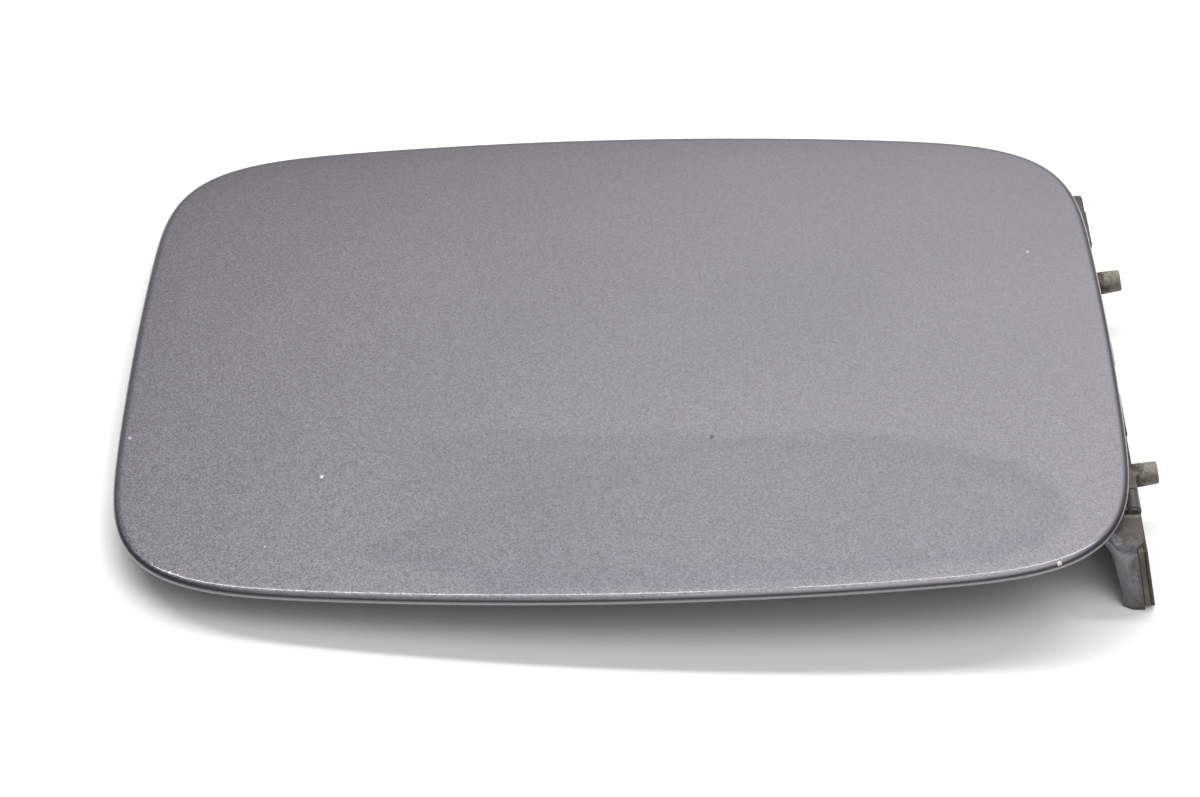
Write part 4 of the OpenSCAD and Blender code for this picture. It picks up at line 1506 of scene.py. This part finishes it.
@dataclass
class Lid:
    """The lid's own pieces: skin, inner panel, striker, rivets and buffers.

    Attributes:
        frame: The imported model.
        lie: How the part lies.
        outline: The lid's plan and crown.
        marks: The skin's chips and spots.
        scratches: Its fine scratches.
        rivet_mm: Place of the rear rivet and height of the plate's underside.
        grip: Thickness that the rivets hold.
        buffer_mm: Place of the rear buffer and height of its seat.
        buffer_r: Radius of its domed tip.
        buffer_h: Its height below the seat.
    """

    frame: dict[str, Any]
    lie: Lie
    outline: LidOutline = field(default_factory=LidOutline)
    marks: tuple[Mark, ...] = (
        Mark(-58.0, -40.6, 0.42, "f1eee6"), Mark(-67.6, -59.4, 0.22, "e2ded6"),
        Mark(-85.3, -65.3, 0.3, "d9d3c6"), Mark(-83.7, -66.1, 0.22, "d9d3c6"),
        Mark(-97.3, -27.4, 0.38, "cfc3a0"), Mark(18.4, -31.7, 0.55, "3a3a42"),
        Mark(-49.0, -65.6, 0.25, "4a4a50"), Mark(83.0, -67.35, 0.45, "e6e0d2", 0.35), Mark(86.0, 26.8, 0.35, "b9b8be"),
    )
    scratches: tuple[Scratch, ...] = (
        Scratch((-69.3, -24.9), (-68.8, -30.8), 0.2), Scratch((38.7, 49.6), (39.1, 32.4), 0.16),
        Scratch((43.3, 26.8), (44.1, 20.7), 0.16),
    )
    rivet_mm: tuple[float, float, float] = (-71.6, 9.4, -6.1)
    grip: float = 1.8
    buffer_mm: tuple[float, float, float] = (-72.0, 42.0, -4.9)
    buffer_r: float = 3.4
    buffer_h: float = 8.25

    def build(self) -> None:
        """Builds and dresses every piece of the lid."""
        skin = LidSkin(self.outline).build(self.lie)
        lacquer = MetallicLacquer(marks=self.marks, scratches=self.scratches).build(self.lie, self.outline)
        finish_piece(skin, lacquer, "metallic_paint", Body.LID, "outer_skin")
        panel = InnerPanel(self.outline).build(self.lie)
        finish_piece(panel, Finish.INNER_PAINT.value.build(), "inner_paint", Body.LID, "inner_panel")
        zinc = Finish.PLATED_STEEL.value.build()
        striker = pressed_copy(self.frame["nodes"]["latch_striker"], "latch_striker_plate", 0.2)
        finish_piece(striker, zinc, "plated_steel", Body.LID, "latch_striker")
        self.rivets(zinc)
        self.buffers(Finish.RUBBER.value.build())

    def rivets(self, zinc: bpy.types.Material) -> None:
        """Builds the two striker rivets: a shank between a quarter-ellipse dome and a flat head.

        Args:
            zinc: Their material.
        """
        x, y, low = self.rivet_mm
        for side, name in ((-1, "striker_rivet_front"), (1, "striker_rivet_rear")):
            dome = [(2.4 * math.sin(a), -0.8 * math.cos(a), 0.0) for a in np.linspace(0, math.pi / 2, 9)]
            corners = (
                *dome, (2.4, 0.0, 0), (1.2, 0.0, 0), (1.2, self.grip, 0), (1.8, self.grip, 0.1),
                (1.8, self.grip + 0.8, 0.2), (0.0, self.grip + 0.8, 0),
            )
            rivet = Turned(name, corners).build(lambda p, side=side: self.lie.place(p + np.array((x, side * y, low))))
            finish_piece(rivet, zinc, "plated_steel", Body.LID, "striker_rivets")

    def buffers(self, rubber: bpy.types.Material) -> None:
        """Builds the two push-in rubber buffers: a lip, a seat and a cone that ends in a quarter-circle dome.

        Args:
            rubber: Their material.
        """
        x, y, seat = self.buffer_mm
        tip = self.buffer_r
        turns = np.linspace(0, math.pi / 2, 12)
        dome = [(tip * math.cos(a), -(self.buffer_h - tip) - tip * math.sin(a), 0.0) for a in turns]
        corners = (
            (0.0, 1.7, 0), (2.0, 1.7, 0.3), (2.7, 0.6, 0.1), (2.0, 0.6, 0), (2.0, 0.0, 0), (5.0, 0.0, 0.15),
            (5.0, -1.2, 0.25), (4.2, -1.2, 0.1), *dome,
        )
        for side, node in ((-1, "buffer_front"), (1, "buffer_rear")):
            piece = Turned(node + "_rubber", corners).build(
                lambda p, side=side: self.lie.place(p + np.array((x, side * y, seat)))
            )
            finish_piece(piece, rubber, "rubber", Body.LID, node)


@dataclass
class Hinge:
    """The hinge: bracket with its legs on the lid, and leaf, gasket, plugs, pin and spring on the body.

    Attributes:
        frame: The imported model.
        lie: How the part lies.
        strip_half: Half the width of the strip between its two legs.
    """

    frame: dict[str, Any]
    lie: Lie
    strip_half: float = 50.8

    def build(self) -> None:
        """Builds and dresses every piece of the hinge."""
        nodes = self.frame["nodes"]
        paint = Finish.BRACKET_PAINT.value.build("grime_and_shade")
        strip = pressed_copy(nodes["hinge_bracket"], "hinge_strip", 0.18, half_span=self.strip_half)
        # The strip's paint is dirt, and its darker tone is painted shade under the lid.
        dirt_and_shade = Finish.SOILED_SHADED_PAINT.value.build()
        finish_piece(strip, dirt_and_shade, "bracket_paint", Body.LID, "hinge_bracket")
        for side in (-1, 1):
            leg = HingeLeg(self.lie, side).build()
            finish_piece(leg, paint, "bracket_paint", Body.LID, "hinge_bracket")
        leaf = pressed_copy(nodes["hinge_leaf"], "mounting_leaf", 0.2)
        steel = Finish.LEAF_STEEL.value.build()
        finish_piece(leaf, steel, "leaf_steel", Body.LEAF, "hinge_leaf")
        gasket = Gasket(self.lie).build()
        finish_piece(gasket, Finish.GASKET.value.build(), "gasket", Body.LEAF, "leaf_gasket")
        nylon = Finish.NYLON.value.build("grime_and_shade")
        zinc = Finish.PLATED_STEEL.value.build()
        for side, end in ((-1, "front"), (1, "rear")):
            finish_piece(NylonPlug(self.lie, side).build(), nylon, "nylon", Body.LEAF, f"plug_{end}")
            screw = pressed_copy(nodes[f"plug_screw_{end}"], f"plug_screw_{end}_pan", 0.08)
            finish_piece(screw, zinc, "plated_steel", Body.LEAF, f"plug_screw_{end}")
        self.pin(steel)
        wire = Finish.SPRING_STEEL.value.build()
        coil, leg = HingeSpring(self.lie).build()
        finish_piece(coil, wire, "spring_steel", Body.LEAF, "hinge_spring")
        finish_piece(leg, wire, "spring_steel", Body.LID, "hinge_spring")

    def pin(self, steel: bpy.types.Material) -> None:
        """Builds the hinge pin with its two flat heads, along Y, as dirty as the leaf.

        Args:
            steel: Its material.
        """
        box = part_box("hinge_pin")
        half = (box[1][1] - box[0][1]) * 500
        head, rod, neck = 1.3, 0.76, half - 0.6
        corners = (
            (0.0, -half, 0), (head, -half, 0.15), (head, -neck, 0.08), (rod, -neck, 0),
            (rod, neck, 0), (head, neck, 0.08), (head, half, 0.15), (0.0, half, 0),
        )
        pin = Turned("hinge_pin_rod", corners, 32).build(
            lambda p: self.lie.turned(np.stack([p[:, 0], p[:, 2], -p[:, 1]], -1), self.lie.tilt)
        )
        finish_piece(pin, steel, "plated_steel", Body.LEAF, "hinge_pin")


# ---------------------------------------------------------------- the set


@dataclass(frozen=True)
class Glow:
    """A soft round patch of the room's light.

    Attributes:
        towards: The way to its middle.
        rim: Cosine of the angle from there to its rim.
        strength: Its strength in the middle.
    """

    towards: tuple[float, float, float]
    rim: float
    strength: float


@dataclass(frozen=True)
class Lamp:
    """A soft area lamp that points at the lid.

    Attributes:
        name: Name of the lamp.
        place: Where it hangs, in metres.
        size: Its width along X and its depth.
        watts: Its power.
    """

    name: str
    place: tuple[float, float, float]
    size: Point
    watts: float

    def build(self) -> None:
        """Hangs the lamp: its face looks at the origin and its width lies level along X."""
        data = bpy.data.lights.new(self.name, "AREA")
        data.shape = "RECTANGLE"
        data.size, data.size_y = self.size
        data.energy = self.watts
        lamp = bpy.data.objects.new(self.name, data)
        out = Vector(self.place).normalized()
        wide = (Vector((1.0, 0.0, 0.0)) - out * out.x).normalized()
        turn = Matrix((wide, out.cross(wide), out)).transposed().to_4x4()
        lamp.matrix_world = Matrix.Translation(self.place) @ turn
        bpy.context.scene.collection.objects.link(lamp)


@dataclass
class Studio:
    """White table, plain soft light from overhead and in front, and the photograph's camera.

    Attributes:
        lens_mm: The lens, for a sensor 36 mm wide.
        aim_mm: The point that the camera looks at.
        distance_mm: Its distance from there.
        elevation: Its height as an angle.
        azimuth: Its angle round from the front.
        roll: Its turn about the line of sight.
        table_white: The table's colour, for the light that it throws back.
        table_seen: The table's colour where it is seen, which keeps it white.
        lamps: The area lamps.
        glows: The room's own light.
    """

    lens_mm: float = 96.0
    aim_mm: tuple[float, float, float] = (-7.7471, -16.3997, 15.0)
    distance_mm: float = 643.4895
    elevation: float = 39.5984
    azimuth: float = -1.2174
    roll: float = 2.4985
    table_white: float = 0.86
    table_seen: float = 1.15
    lamps: tuple[Lamp, ...] = (
        Lamp("overhead light, left", (-0.4, 0.2, 1.1), (0.8, 0.1), 4.1),
        Lamp("overhead light, right", (0.35, 0.2, 1.1), (0.7, 0.1), 2.9),
        Lamp("front light", (0.35, -0.4, 1.0), (0.9, 0.5), 2.0),
    )
    glows: tuple[Glow, ...] = (
        Glow((0.12, 0.67, 0.73), 0.86, 1.52),
        Glow((0.0, 0.79, 0.61), 0.3, 0.3),
        Glow((0.15, -0.42, 0.9), 0.75, 1.15),
        Glow((-0.05, -0.64, 0.77), 0.88, 0.5),
    )

    def build(self) -> None:
        """Builds the table, lamps, world and camera."""
        bpy.context.scene.view_settings.view_transform = "Standard"
        self.table()
        self.world()
        for lamp in self.lamps:
            lamp.build()
        self.camera()

    def table(self) -> None:
        """A plain white table top at height 0, whose colour is raised where it is seen so that it stays white."""
        side = np.linspace(-1.6, 1.6, 5)
        x, y = np.meshgrid(side, side, indexing="xy")
        points = np.stack([x, y, np.zeros_like(x)], -1).reshape(-1, 3)
        table = mesh_object("table_top", points, grid_faces(5, 5, wrap=False))
        material, tree = new_material("white table")
        ray = add_node(tree, "ShaderNodeLightPath")
        seen = add_node(
            tree,
            "ShaderNodeMath",
            {0: ray.outputs["Is Camera Ray"], 1: ray.outputs["Is Glossy Ray"]},
            operation="MAXIMUM",
        )
        colour = add_node(
            tree,
            "ShaderNodeMix",
            {"Factor": seen.outputs[0], 6: (*[self.table_white] * 3, 1.0), 7: (*[self.table_seen] * 3, 1.0)},
            data_type="RGBA",
        )
        shader = add_node(tree, "ShaderNodeBsdfDiffuse", {"Color": colour.outputs[2]})
        add_node(tree, "ShaderNodeOutputMaterial", {"Surface": shader.outputs[0]})
        table.data.materials.append(material)

    def world(self) -> None:
        """A soft studio room, white where the camera sees it and otherwise the sum of its glows.

        Each glow is a smooth step of the cosine of the angle to its middle.
        """
        world = bpy.data.worlds.new("studio room")
        bpy.context.scene.world = world
        world.use_nodes = True
        tree = world.node_tree
        tree.nodes.clear()
        way = add_node(tree, "ShaderNodeTexCoord").outputs["Generated"]
        level: Any = 0.0
        for glow in self.glows:
            towards = add_node(tree, "ShaderNodeVectorMath", {0: way, 1: glow.towards}, operation="DOT_PRODUCT")
            patch = add_node(
                tree,
                "ShaderNodeMapRange",
                {"Value": towards.outputs["Value"], "From Min": glow.rim, "From Max": 1.0, "To Max": glow.strength},
                interpolation_type="SMOOTHSTEP",
            )
            level = add_node(tree, "ShaderNodeMath", {0: level, 1: patch.outputs[0]}, operation="ADD").outputs[0]
        ray = add_node(tree, "ShaderNodeLightPath")
        seen = add_node(
            tree,
            "ShaderNodeMix",
            {"Factor": ray.outputs["Is Camera Ray"], 2: level, 3: 1.0},
            data_type="FLOAT",
        )
        sky = add_node(tree, "ShaderNodeBackground", {"Color": (1.0, 1.0, 1.0, 1.0), "Strength": seen.outputs[0]})
        add_node(tree, "ShaderNodeOutputWorld", {"Surface": sky.outputs[0]})

    def camera(self) -> None:
        """Sets the camera: distance and angles about the aim, then a roll about the line of sight."""
        el, az, roll = (math.radians(v) for v in (self.elevation, self.azimuth, self.roll))
        back = Vector((math.sin(az) * math.cos(el), -math.cos(az) * math.cos(el), math.sin(el)))
        right = Vector((math.cos(az), math.sin(az), 0.0))
        up = back.cross(right)
        across = right * math.cos(roll) + up * math.sin(roll)
        above = up * math.cos(roll) - right * math.sin(roll)
        data = bpy.data.cameras.new("photo camera")
        data.sensor_width = 36.0
        data.lens = self.lens_mm
        data.clip_start, data.clip_end = 0.01, 20.0
        camera = bpy.data.objects.new("photo camera", data)
        spot = (Vector(self.aim_mm) + back * self.distance_mm) / 1000
        turn = Matrix((across, above, back)).transposed().to_4x4()
        camera.matrix_world = Matrix.Translation(spot) @ turn
        bpy.context.scene.collection.objects.link(camera)
        bpy.context.scene.camera = camera


def main() -> None:
    """Loads the frame and builds the lid, the hinge and the set."""
    logging.basicConfig(level=logging.INFO, format="%(name)s: %(message)s")
    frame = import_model()
    lie = Lie.from_frame(frame)
    Lid(frame, lie).build()
    Hinge(frame, lie).build()
    Studio().build()


if __name__ == "__main__":
    main()
